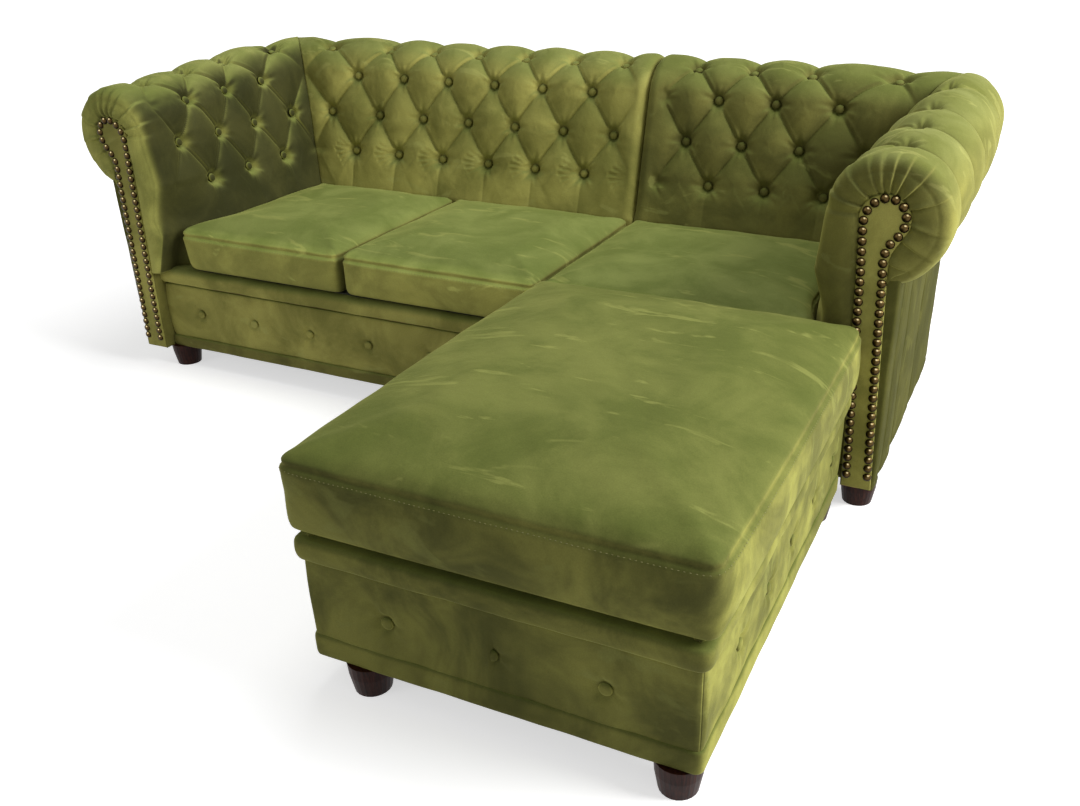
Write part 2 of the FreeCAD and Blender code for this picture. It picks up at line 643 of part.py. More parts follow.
class Pad:
    """One tufted pad, from the corner where the arm and the back meet to its free end."""

    def __init__(self, right, arm):
        self.right = right
        self.arm = arm
        corner_reach = S.arm_rear_share
        if arm:
            self.first = S.back_face + S.corner_row
            self.corner = lambda h: S.back_face - S.mitre_gap / 2 + h / corner_reach
            self.end = -S.arm_front
            self.way = -1
            self.land = FRONT_LAND
            self.smooth = 70
            self.wall = S.arm_face - S.frame_outer
            self.core = S.arm_face - S.frame_inner - S.frame_clearance
            self.top = S.frame_top
        else:
            self.first = S.corner_column
            self.corner = lambda h: S.arm_face + S.mitre_gap / 2 - corner_reach * h
            joint = S.unit_joint + (S.unit_gap / 2 if right else -S.unit_gap / 2)
            self.end = S.sofa_width - joint if right else joint
            self.way = 1
            self.land = S.end_round
            self.smooth = 60
            self.wall = S.cover_behind
            self.core = S.frame_behind - S.frame_clearance
            self.top = S.back_frame_top
        self.stations = self.make_stations()
        self.rings = [self.ring(number) for number in range(len(self.stations))]

    def make_stations(self):
        """Each station's place along the pad, its column and how far its edge is drawn in."""
        half = S.column_pitch / 2
        room = abs(self.end - self.first) - self.land - half / 2
        count = int(room / half) + 1
        found = [(self.first + self.way * half * number, number / 2, 0.0)
                 for number in range(count)]
        if self.arm:
            for share, inset in reversed(FRONT_STEPS):
                place = self.end + share * FRONT_LAND
                found.append((place, count / 2, inset * S.front_round))
        else:
            found.append((self.end - self.way * S.end_round, count / 2, 0.25 * S.end_round))
            found.append((self.end, count / 2, S.end_round))
        return found

    def section(self, place):
        back = Section(S.back_set, S.back_height, S.back_radius, S.back_radius)
        if not self.arm:
            return back
        share = (place - self.end) / (self.first - self.end)
        blend = lambda front, rear: front + (rear - front) * min(max(share, 0), 1)
        return Section(blend(S.arm_front_set, S.back_set * S.arm_rear_share),
                       blend(S.arm_front_height, S.back_height),
                       blend(S.arm_front_radius, S.back_radius * S.arm_rear_share),
                       blend(S.arm_front_radius, S.back_radius))

    def calm(self, place):
        """Depth of the tufts, which fade out before the pad's free end."""
        return min(1, max(0, (abs(place - self.end) - self.land) / self.smooth))

    def steps(self, section):
        """Travels of the outline's points: two to a row, and steps of like length on the roll."""
        half = S.row_pitch / 2
        below = S.pad_seat - S.side_rail_top
        found = [-below, -below / 2, 0]
        found += [half * number for number in range(1, 2 * ROWS + 1)]
        end = section.under(self.wall)
        count = 16
        start = found[-1]
        found += [start + (end - start) * number / count for number in range(1, count + 1)]
        return found

    def place(self, along, behind, height):
        """A point of the pad in the sofa's frame."""
        if self.arm:
            x = S.arm_face - behind
            point = Vector(x, along, height)
        else:
            point = Vector(along, S.back_face + behind, height)
        if self.right:
            point.x = S.sofa_width - point.x
        return point

    def along(self, number, place, behind):
        share = FAN[number] if number < len(FAN) else 0
        return place + (self.corner(behind) - self.first) * share

    def velvet(self, number, index):
        """Point of the velvet and its outward normal at a station."""
        place, column, inset = self.stations[number]
        section = self.section(place)
        step = self.steps(section)[index]
        (behind, height), normal = section.at(step)
        row = step / S.row_pitch
        sink = tuft(column, row) * self.calm(place) + inset * (0.25 if step < 0 else 1)
        if number < len(CORNER_BOW):
            bow = min(1, max(0, (row - BOW_START) / BOW_ROWS))
            sink += S.corner_round * CORNER_BOW[number] * bow
        if step < 0 and self.arm:
            low = -step / (S.pad_seat - S.side_rail_top)
            near = max(0, 1 - max(place - 0.5 * S.arm_front, 0) / self.smooth)
            behind += S.arm_taper * low * near
        behind -= normal[0] * sink
        height -= normal[1] * sink
        point = self.place(self.along(number, place, behind), behind, height)
        tip = self.place(self.along(number, place, behind + normal[0]),
                         behind + normal[0], height + normal[1])
        return point, (tip - point).normalize()

    def ring(self, number):
        """All points of one station, round the velvet and back along the frame."""
        place, column, inset = self.stations[number]
        section = self.section(place)
        points = [self.velvet(number, index)[0] for index in range(len(self.steps(section)))]
        hem = points.pop().z
        inner = ((self.wall, hem), (self.wall, self.top), (self.core, self.top),
                 (self.core, S.side_rail_top))
        for behind, height in inner:
            points.append(self.place(self.along(number, place, behind), behind, height))
        return points

    def shape(self):
        """The pad as facets: two to each quarter of a puff, and a cap at each end."""
        rings = self.rings
        count = len(rings[0])
        faces = [flat(rings[0]), flat(rings[-1])]
        for number in range(len(rings) - 1):
            here, there = rings[number], rings[number + 1]
            for index in range(count):
                after = (index + 1) % count
                quad = (here[index], here[after], there[after], there[index])
                faces += split(quad, (number + index) % 2 == 0)
        solid = Part.Solid(Part.Shell(faces))
        if solid.Volume < 0:
            solid.reverse()
        return solid

    def lift(self, number, index, normal):
        """How far a button stays above its pit so that its edge rests on the folds round it."""
        pit = self.rings[number][index]
        side = normal.cross(Vector(0, 0, 1)).normalize()
        other = normal.cross(side)
        round_pit = [self.rings[number + a][index + b] - pit for a, b in AROUND]
        seen = [(v.dot(side), v.dot(other), v.dot(normal)) for v in round_pit]
        highest = 0
        for one, two in zip(seen, seen[1:] + seen[:1]):
            area = one[0] * two[1] - one[1] * two[0]
            for step in range(72):
                turn = math.radians(5 * step)
                x, y = S.button_radius * math.cos(turn), S.button_radius * math.sin(turn)
                share = (x * two[1] - y * two[0]) / area
                rest = (one[0] * y - one[1] * x) / area
                if share >= 0 and rest >= 0:
                    highest = max(highest, share * one[2] + rest * two[2])
        return max(0, highest - S.button_rise)

    def buttons(self):
        """Buttons in the pits of the pattern."""
        found = []
        for number in range(2, len(self.stations), 2):
            place, column, inset = self.stations[number]
            if self.calm(place) < 1:
                continue
            for row in range(1, ROWS + 1):
                if (column + row) % 2 == 1:
                    index = 2 * row + 2
                    point, normal = self.velvet(number, index)
                    lift = S.seam_clearance + self.lift(number, index, normal)
                    found.append(lens(point + normal * lift, normal))
        return found


def split(quad, rising):
    """A quad's two triangles, folded along the diagonal that the crease follows."""
    a, b, c, d = quad
    halves = ((a, b, c), (a, c, d)) if rising else ((a, b, d), (b, c, d))
    return [flat(list(half)) for half in halves if half[0].distanceToPoint(half[1]) > 1e-6]


def pads():
    for right in (False, True):
        for arm in (True, False):
            name = side_name(right) + ("_arm" if arm else "_back")
            pad = Pad(right, arm)
            shaped(name + "_pad", pad.shape())
            shaped(name + "_buttons", Part.makeCompound(pad.buttons()))


# Timber frames of the arms and the backs, and the covers on their outer sides.

def arm_frame(right):
    name = side_name(right) + "_arm_frame"
    across = flipped(("frame_outer", "frame_inner"), right)
    rail_back = "panel_thickness + rail_thickness"
    narrow = flipped(("frame_outer", "frame_outer + post_width"), right)
    front_post = board(name + "_front_post", narrow, ("-arm_front", "panel_thickness"),
                       (FOOT_TOP, "frame_top"))
    rear_post = board(name + "_rear_post", across,
                      (REAR_RAIL, f"{BACK_FRAME} - frame_clearance"),
                      (FOOT_TOP, "frame_top"))
    lower = board(name + "_lower_rail", across, (rail_back, REAR_RAIL),
                  (FOOT_TOP, f"{FOOT_TOP} + board_height"))
    upper = board(name + "_upper_rail", across, ("panel_thickness", REAR_RAIL),
                  ("frame_top - post_width", "frame_top"))
    together(name, [front_post, rear_post, lower, upper])


def back_frame(right):
    name = side_name(right) + "_back_frame"
    depth = (BACK_FRAME, BACK_COVER)
    low, high = unit_limits(right, "back_frame_start")
    starts = [low, f"{high} - post_width"]
    if not right:
        starts.insert(1, f"({low} + {high} - post_width) / 2")
    pieces = []
    for number, start in enumerate(starts):
        pieces.append(board(f"{name}_post_{number}", (start, f"{start} + post_width"), depth,
                            (FOOT_TOP, "back_frame_top")))
        if number:
            between = (f"{starts[number - 1]} + post_width", start)
            pieces.append(board(f"{name}_lower_rail_{number}", between, depth,
                                (FOOT_TOP, f"{FOOT_TOP} + board_height")))
            pieces.append(board(f"{name}_upper_rail_{number}", between, depth,
                                ("back_frame_top - post_width", "back_frame_top")))
    together(name, pieces)


def mirrored(corners):
    """An outline seen from the other arm, in the same turning sense."""
    turned_round = []
    for index in reversed(range(len(corners))):
        bend = corners[index - 1][2:]
        turned_round.append((f"sofa_width - ({corners[index][0]})", corners[index][1]) + bend)
    return turned_round


def arm_facing(right):
    """Keyhole-shaped board on the arm's front, a straight leg under a round head."""
    middle, height = "facing_bulb_in", "facing_bulb_height"
    corners = [
        ("facing_inset", "facing_bottom"),
        ("facing_inset + facing_width", "facing_bottom"),
        (f"{middle} + facing_bulb * cos(20 deg)", f"{height} - facing_bulb * sin(20 deg)",
         "facing_bulb"),
        (middle, f"{height} + facing_bulb", "facing_bulb"),
        (f"{middle} - facing_bulb * cos(25 deg)", f"{height} - facing_bulb * sin(25 deg)"),
        ("facing_neck", "facing_neck_height"),
    ]
    if right:
        corners = mirrored(corners)
    extruded(side_name(right) + "_arm_facing", "XZ_Plane", corners, "arm_front",
             "facing_thickness")


SIDE_FRONT = "arm_front_height - arm_front_radius - side_cover_drop"
SIDE_REAR = "back_height - back_radius - side_cover_rear_drop"


def arm_cover(right):
    """Outer side of an arm: a padded strip behind the front edge and a flat panel behind it."""
    name = side_name(right) + "_arm_cover"
    strip_end = "strip_width - arm_front"
    panel = extruded(name + "_panel", "YZ_Plane",
                     [(strip_end, FOOT_TOP), (SOFA_BACK, FOOT_TOP),
                      (SOFA_BACK, SIDE_REAR), (strip_end, SIDE_FRONT)],
                     flipped(("side_cover_step", "frame_outer"), right)[0],
                     "frame_outer - side_cover_step")
    soft = "strip_width / 4"
    corners = [("frame_outer", "-arm_front"), ("frame_outer", strip_end),
               ("side_cover_step", strip_end), ("0", f"{strip_end} - {soft}"),
               ("0", f"{soft} - arm_front"), ("side_cover_step", "-arm_front")]
    if right:
        corners = mirrored(corners)
    strip = extruded(name + "_strip", "XY_Plane", corners, FOOT_TOP,
                     f"{SIDE_FRONT} - ({FOOT_TOP})")
    together(name, [panel, strip])


def back_cover(right):
    board(side_name(right) + "_back_cover", unit_limits(right, "frame_outer + seam_clearance"),
          (BACK_COVER, SOFA_BACK), (FOOT_TOP, "back_cover_top"))


# Loose cushions, boxed, with a seam under a soft crown.

SOFT_STEPS = ((0, 1, 0.1), (0.25, 0.35, 0.35), (1, 0, 0.6), (5, 0, 0.92))


def cushion(label, x, y, bottom, seam, crown, corner, edge):
    """A cushion as a ruled loft from its front to its rear. The corner rounds its lower edges
    and the edge draws in its upright ones."""
    front, rear = y
    length = rear - front
    ends = [(front + step * edge, inset * edge, rise) for step, inset, rise in SOFT_STEPS]
    stations = ends + [(front + length / 2, 0, 1)]
    stations += [(front + rear - place, inset, rise) for place, inset, rise in reversed(ends)]
    wires = []
    for place, inset, rise in stations:
        low, high = x[0] + inset, x[1] - inset
        floor, top = bottom + inset, seam - inset / 2
        middle = Vector((low + high) / 2, place, top + crown * rise)
        turn = corner * (1 - math.sqrt(0.5))
        points = [Vector(low + corner, place, floor), Vector(high - corner, place, floor),
                  Vector(high, place, floor + corner), Vector(high, place, top),
                  Vector(low, place, top), Vector(low, place, floor + corner)]
        edges = [
            Part.makeLine(points[0], points[1]),
            Part.Arc(points[1], Vector(high - turn, place, floor + turn), points[2]).toShape(),
            Part.makeLine(points[2], points[3]),
            Part.Arc(points[3], middle, points[4]).toShape(),
            Part.makeLine(points[4], points[5]),
            Part.Arc(points[5], Vector(low + turn, place, floor + turn), points[0]).toShape(),
        ]
        wires.append(Part.Wire(edges))
    body = Part.makeLoft(wires, True, True)
    shaped(label, body)


def seat_cushions():
    half_gap = S.cushion_gap / 2
    walls = (S.arm_face + S.cushion_gap + half_gap, S.sofa_width - S.arm_face - S.cushion_gap - half_gap)
    limits = [(walls[0], S.cushion_joint - half_gap),
              (S.cushion_joint + half_gap, S.unit_joint - half_gap),
              (S.unit_joint + half_gap, walls[1])]
    for name, x in zip(("left", "middle", "right"), limits):
        cushion(f"seat_cushion_{name}", x, (-S.cushion_front, S.back_face - 2 * S.seam_clearance),
                S.cushion_bottom, S.cushion_seam, S.cushion_crown, S.cushion_corner, 14)


# Ottoman: a box of rails with padded panels, and a loose cushion on its padded board.

OTTOMAN_X = (OTTOMAN_SIDE, "sofa_width - ottoman_inset")
OTTOMAN_Y = ("-ottoman_gap - ottoman_depth", "-ottoman_gap")


def drawn_in(limits, inset):
    return f"{limits[0]} + ({inset})", f"{limits[1]} - ({inset})"


BAND_SECTION = ((0, 0), (1, 0))
LIP_SECTION = ((0, 0.4), (0.13, 0.12), (0.32, 0), (0.68, 0), (0.87, 0.12), (1, 0.4))


def rounded_outline(x0, y0, x1, y1, radius, height):
    """A rectangle with rounded corners, as a wire."""
    turn = radius * (1 - math.sqrt(0.5))
    edges = []
    corners = [(x1, y0, -1, 1), (x1, y1, -1, -1), (x0, y1, 1, -1), (x0, y0, 1, 1)]
    ends = []
    for number, (x, y, left, up) in enumerate(corners):
        first, last = Vector(x, y + up * radius, height), Vector(x + left * radius, y, height)
        if number % 2 == 0:
            first, last = last, first
        ends.append((first, Vector(x + left * turn, y + up * turn, height), last))
    for number, (first, middle, last) in enumerate(ends):
        edges.append(Part.Arc(first, middle, last).toShape())
        edges.append(Part.makeLine(last, ends[(number + 1) % 4][0]))
    return Part.Wire(edges)


def rounded_ring(label, reach, rounding, bottom, top, section):
    """A padded ring round the ottoman, as thick as its panels and sewn from four lengths. The
    section gives shares of its height and how far the ring is drawn in there."""
    x0, x1 = (worth(side) for side in drawn_in(OTTOMAN_X, f"-{reach}"))
    y0, y1 = (worth(side) for side in drawn_in(OTTOMAN_Y, f"-{reach}"))
    z0, z1 = worth(bottom), worth(top)
    radius = worth(rounding)
    rows = []
    for share, drawn in section:
        inset = drawn * radius
        rows.append(rounded_outline(x0 + inset, y0 + inset, x1 - inset, y1 - inset,
                                    radius - inset, z0 + share * (z1 - z0)))
    outer = Part.makeLoft(rows, True, True)
    thick = worth(reach) + S.panel_thickness
    inner = Part.makeBox(x1 - x0 - 2 * thick, y1 - y0 - 2 * thick, z1 - z0,
                         Vector(x0 + thick, y0 + thick, z0))
    ring = outer.cut(inner)
    width, depth, height = x1 - x0, y1 - y0, z1 - z0
    lengths = [
        Part.makeBox(width, thick, height, Vector(x0, y0, z0)),
        Part.makeBox(width, thick, height, Vector(x0, y1 - thick, z0)),
        Part.makeBox(thick, depth - 2 * thick, height, Vector(x0, y0 + thick, z0)),
        Part.makeBox(thick, depth - 2 * thick, height, Vector(x1 - thick, y0 + thick, z0)),
    ]
    shaped(label, Part.makeCompound([ring.common(length).Solids[0] for length in lengths]))


def ottoman_panel(side):
    """One of the four buttoned panels. The front and the rear one carry the rounded edges."""
    low, high = OTTOMAN_X
    near, far = OTTOMAN_Y
    thick, bend = "panel_thickness", "ottoman_corner"
    bottom = f"{FOOT_TOP} + ottoman_band"
    label = "ottoman_panel_" + side
    if side == "front":
        inside = f"{near} + {thick}"
        corners = [(f"{low} + {bend}", near), (f"{high} - {bend}", near, bend),
                   (high, f"{near} + {bend}"), (high, inside), (low, inside),
                   (low, f"{near} + {bend}", bend)]
        if worth(bend) == worth(thick):
            corners = corners[:2] + [(high, inside), (low, inside, bend)]
    elif side == "rear":
        inside = f"{far} - {thick}"
        corners = [(low, inside), (high, inside, bend), (f"{high} - {bend}", far),
                   (f"{low} + {bend}", far, bend)]
    else:
        edge = low if side == "left" else f"{high} - {thick}"
        corners = [(edge, f"{near} + {thick}"), (f"{edge} + {thick}", f"{near} + {thick}"),
                   (f"{edge} + {thick}", f"{far} - {thick}"), (edge, f"{far} - {thick}")]
    return extruded(label + "_pad", "XY_Plane", corners, bottom,
                    f"ottoman_lip_bottom - ({bottom})")


def ottoman():
    thick = "panel_thickness"
    inside = "panel_thickness + rail_thickness"
    bottom = FOOT_TOP
    bore = S.stud_radius + S.bore_clearance
    studs = post_at(OTTOMAN_FEET, bore, bottom, f"{bottom} + stud_rise")
    x, y = drawn_in(OTTOMAN_X, thick), drawn_in(OTTOMAN_Y, thick)
    core_x, core_y = drawn_in(OTTOMAN_X, inside), drawn_in(OTTOMAN_Y, inside)
    rise = (bottom, "front_rail_top")
    rails = [board("ottoman_front_rail", x, (y[0], core_y[0]), rise),
             board("ottoman_back_rail", x, (core_y[1], y[1]), rise),
             board("ottoman_left_rail", (x[0], core_x[0]), core_y, rise),
             board("ottoman_right_rail", (core_x[1], x[1]), core_y, rise)]
    drilled("ottoman_rails", rails, studs)
    board_top = "front_rail_top + ottoman_board"
    board("ottoman_top_board", x, y, ("front_rail_top", board_top))
    board("ottoman_deck", x, y, (board_top, "ottoman_deck_top"))
    sheet_cover = board("ottoman_dust_sheet", x, y, ("foot_height", bottom))
    room = doc.addObject("Part::Feature", "ottoman_foot_room")
    room.Shape = post_at(OTTOMAN_FEET, foot_room(), "foot_height", bottom)
    settle(room)
    without("ottoman_dust_cover", sheet_cover, room)
    rounded_ring("ottoman_bottom_band", "band_reach", "ottoman_corner", bottom,
                 f"{bottom} + ottoman_band", BAND_SECTION)
    rounded_ring("ottoman_lip", "ottoman_lip_reach", "ottoman_lip_height / 2 - 2",
                 "ottoman_lip_bottom", "ottoman_lip_bottom + ottoman_lip_height", LIP_SECTION)
    feet("ottoman_feet", OTTOMAN_FEET)
    left, right = (worth(side) for side in OTTOMAN_X)
    near, far = (worth(side) for side in OTTOMAN_Y)
    middle = (left + right) / 2
    height = S.ottoman_button_height
    across = [middle + S.ottoman_front_pitch * step for step in (-1, 0, 1)]
    count = int((S.ottoman_depth - S.ottoman_side_button) / S.ottoman_side_pitch)
    along = [near + S.ottoman_side_button + S.ottoman_side_pitch * step for step in range(count + 1)]
    along = [place for place in along if place < far - S.ottoman_side_pitch / 3]
    sides = {
        "front": ([Vector(place, near, height) for place in across], Vector(0, -1, 0)),
        "rear": ([Vector(place, far, height) for place in across], Vector(0, 1, 0)),
        "left": ([Vector(left, place, height) for place in along], Vector(-1, 0, 0)),
        "right": ([Vector(right, place, height) for place in along], Vector(1, 0, 0)),
    }
    buttons = []
    for side, (places, outward) in sides.items():
        pad = ottoman_panel(side)
        tool, found = dimples("ottoman_panel_" + side, places, outward)
        without("ottoman_panel_" + side, pad, tool)
        buttons += found
    shaped("ottoman_buttons", Part.makeCompound(buttons))
    reach = S.ottoman_cushion_reach
    cushion("ottoman_cushion", (left - reach, right + reach), (near - reach, far + reach),
            S.ottoman_cushion_bottom, S.ottoman_cushion_seam, S.cushion_crown, 10, 24)


def studs(label, places):
    """Threaded studs that hold the feet."""
    bottom = f"{FOOT_TOP} - stud_sink"
    shaped(label, post_at(places, S.stud_radius, bottom, f"{FOOT_TOP} + stud_rise"))


for right in (False, True):
    base(right)
    front(right)
    arm_frame(right)
    arm_facing(right)
    arm_cover(right)
    back_frame(right)
    back_cover(right)
unit_bolts()
studs("sofa_foot_studs", foot_places(False) + foot_places(True))
studs("ottoman_foot_studs", OTTOMAN_FEET)
pads()
seat_cushions()
ottoman()

NODES = [
    "unit_joining_bolts", "sofa_foot_studs", "ottoman_foot_studs",
    "seat_cushion_left", "seat_cushion_middle", "seat_cushion_right",
    "ottoman_rails", "ottoman_top_board", "ottoman_deck", "ottoman_dust_cover",
    "ottoman_bottom_band", "ottoman_lip", "ottoman_feet", "ottoman_buttons",
    "ottoman_panel_front", "ottoman_panel_rear", "ottoman_panel_left", "ottoman_panel_right",
    "ottoman_cushion",
]
PIECES = [
    "unit_front_rail", "unit_rear_rail", "unit_cross_rails", "unit_deck", "unit_springs",
    "unit_dust_cover", "unit_feet", "unit_bottom_band", "unit_front_lip", "unit_front_panel",
    "unit_front_buttons", "arm_frame", "arm_facing", "arm_cover", "arm_pad", "arm_buttons",
    "back_frame", "back_cover", "back_pad", "back_buttons",
]
NODES += [f"{side}_{piece}" for side in ("left", "right") for piece in PIECES]

doc.recompute()
for thing in doc.Objects:
    if "Invalid" in thing.State or "Error" in thing.State:
        raise RuntimeError(f"{thing.Label}: {thing.State}")
os.makedirs("parts", exist_ok=True)
for name in NODES:
    piece = doc.getObjectsByLabel(name)[0]
    if piece.Shape.isNull() or not piece.Shape.isValid() or not piece.Shape.Solids:
        raise RuntimeError(f"{name}: no sound solid")
    piece.Shape.exportStep(f"parts/{name}.step")
print(len(NODES), "sub-parts")
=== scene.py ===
import math

import bmesh
import bpy
import numpy as np
from mathutils import Matrix, Vector
from mathutils.bvhtree import BVHTree


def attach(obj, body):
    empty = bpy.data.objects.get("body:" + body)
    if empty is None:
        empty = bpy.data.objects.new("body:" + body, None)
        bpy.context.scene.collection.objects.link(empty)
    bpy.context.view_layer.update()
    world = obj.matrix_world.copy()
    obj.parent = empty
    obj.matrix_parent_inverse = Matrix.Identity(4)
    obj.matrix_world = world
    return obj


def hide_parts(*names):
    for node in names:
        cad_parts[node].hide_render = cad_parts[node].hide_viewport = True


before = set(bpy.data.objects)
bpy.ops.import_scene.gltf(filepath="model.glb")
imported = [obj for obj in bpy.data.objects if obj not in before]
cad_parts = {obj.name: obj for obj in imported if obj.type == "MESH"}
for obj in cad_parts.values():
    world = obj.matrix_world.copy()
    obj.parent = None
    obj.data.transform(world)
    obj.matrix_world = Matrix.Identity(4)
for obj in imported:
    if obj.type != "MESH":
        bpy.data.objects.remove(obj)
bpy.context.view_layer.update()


# The eye stands in front of the right arm at the height of a tall table and looks down across
# the ottoman into the far corner, with a moderate wide angle.

EYE = (1.2174, -1.8734, 1.1397)
YAW, PITCH_DOWN, ROLL = math.radians(-24.224), math.radians(27.368), math.radians(-0.375)
IMAGE_WIDTH = 1080
FOCAL_PIXELS = 1028.04
OFF_CENTRE = (62.78, 24.06)

ahead = Vector((math.sin(YAW) * math.cos(PITCH_DOWN), math.cos(YAW) * math.cos(PITCH_DOWN),
                -math.sin(PITCH_DOWN)))
sideways = Vector((math.cos(YAW), -math.sin(YAW), 0))
downward = ahead.cross(sideways)
image_x = math.cos(ROLL) * sideways - math.sin(ROLL) * downward
image_y = math.sin(ROLL) * sideways + math.cos(ROLL) * downward
eye = bpy.data.objects.new("eye", bpy.data.cameras.new("eye"))
bpy.context.scene.collection.objects.link(eye)
turned = Matrix((image_x, -image_y, -ahead)).transposed().to_4x4()
eye.matrix_world = Matrix.Translation(EYE) @ turned
eye.data.sensor_width = 36
eye.data.lens = 36 * FOCAL_PIXELS / IMAGE_WIDTH
eye.data.shift_x = -OFF_CENTRE[0] / IMAGE_WIDTH
eye.data.shift_y = OFF_CENTRE[1] / IMAGE_WIDTH
eye.data.clip_end = 60
bpy.context.scene.camera = eye
bpy.context.scene.view_settings.view_transform = "Standard"


# The studio: a wide pale floor that keeps a soft shadow, a white surround, one large soft light
# from the right, one overhead and a weak one from the front.

def linear(code):
    """An sRGB hex colour as linear red, green, blue and alpha."""
    found = []
    for start in (1, 3, 5):
        part = int(code[start:start + 2], 16) / 255
        found.append(part / 12.92 if part <= 0.04045 else ((part + 0.055) / 1.055) ** 2.4)
    return (*found, 1)


def add(tree, kind, values={}, links={}, **settings):
    """A node with its settings, the values of its sockets and the outputs that feed them."""
    made = tree.nodes.new("ShaderNode" + kind)
    for name, value in settings.items():
        setattr(made, name, value)
    for socket, value in values.items():
        made.inputs[socket].default_value = value
    for socket, source in links.items():
        tree.links.new(source, made.inputs[socket])
    return made


def blank_material(name):
    """A material with an empty tree, and the places on its object that its patterns read."""
    made = bpy.data.materials.new(name)
    made.use_nodes = True
    made.node_tree.nodes.clear()
    return made, made.node_tree, add(made.node_tree, "TexCoord").outputs["Object"]


def seen_directly(tree):
    """1 for what the eye, a gloss or a glass sees of the surround, and 0 for the light it gives."""
    path = add(tree, "LightPath")
    both = add(tree, "Math", links={0: path.outputs["Is Camera Ray"],
                                    1: path.outputs["Is Glossy Ray"]}, operation="MAXIMUM")
    return add(tree, "Math", links={0: both.outputs[0], 1: path.outputs["Is Transmission Ray"]},
               operation="MAXIMUM").outputs[0]


AMBIENT = 0.27
FLOOR_SHADE, FLOOR_WHITE = (1.2, 0.58), (3.2, 1.0)
FLOOR_SIZE = 14
world = bpy.data.worlds.new("surround")
bpy.context.scene.world = world
world.use_nodes = True
tree = world.node_tree
tree.nodes.clear()
given = add(tree, "Background", {"Color": (1, 1, 1, 1), "Strength": AMBIENT})
shown = add(tree, "Background", {"Color": (1, 1, 1, 1), "Strength": 1})
chosen = add(tree, "MixShader", links={0: seen_directly(tree), 1: given.outputs[0],
                                       2: shown.outputs[0]})
add(tree, "OutputWorld", links={"Surface": chosen.outputs[0]})

floor_paint, tree, spot = blank_material("pale_floor_paint")
matt = add(tree, "BsdfDiffuse", {"Color": (0.8, 0.8, 0.8, 1)})
# Beyond the shadow's reach the sweep of the floor is as white as the surround.
reach = add(tree, "VectorMath", links={0: spot}, operation="LENGTH")
bright = add(tree, "MapRange", {"From Min": FLOOR_SHADE[0], "From Max": FLOOR_WHITE[0],
                                "To Min": FLOOR_SHADE[1], "To Max": FLOOR_WHITE[1]},
             {"Value": reach.outputs["Value"]}, interpolation_type="SMOOTHSTEP")
lift = add(tree, "Math", links={0: seen_directly(tree), 1: bright.outputs[0]},
           operation="MULTIPLY")
glow = add(tree, "Emission", {"Color": (1, 1, 1, 1)}, {"Strength": lift.outputs[0]})
both = add(tree, "AddShader", links={0: matt.outputs[0], 1: glow.outputs[0]})
add(tree, "OutputMaterial", links={"Surface": both.outputs[0]})

slab = bmesh.new()
bmesh.ops.create_grid(slab, x_segments=1, y_segments=1, size=FLOOR_SIZE)
floor_mesh = bpy.data.meshes.new("floor")
slab.to_mesh(floor_mesh)
slab.free()
floor = bpy.data.objects.new("floor", floor_mesh)
floor.data.materials.append(floor_paint)
bpy.context.scene.collection.objects.link(floor)

# Each light's place, what it is turned to, its width and its power.
LIGHTS = [
    ("light_right", (4.4, 0.3, 2.9), (0.2, -0.1, 0.4), 2.4, 262),
    ("light_above", (0.2, 0.9, 3.4), (0.0, -0.1, 0.3), 2.0, 38),
    ("light_front", (-2.6, -4.2, 2.2), (-0.6, 0.0, 0.4), 2.6, 25),
]
for name, place, aim, size, power in LIGHTS:
    lamp = bpy.data.objects.new(name, bpy.data.lights.new(name, "AREA"))
    lamp.data.shape = "DISK"
    lamp.data.size = size
    lamp.data.energy = power
    lamp.location = place
    lamp.rotation_euler = (Vector(aim) - Vector(place)).to_track_quat("-Z", "Y").to_euler()
    bpy.context.scene.collection.objects.link(lamp)


# Tufted pads: four foam and wadding pads under one skin of plush velvet, drawn down by buttons
# into deep diamonds, rolled over the top rail and mitred where an arm meets its back. At an
# arm's front the velvet is gathered in sharp pleats round the keyhole facing.

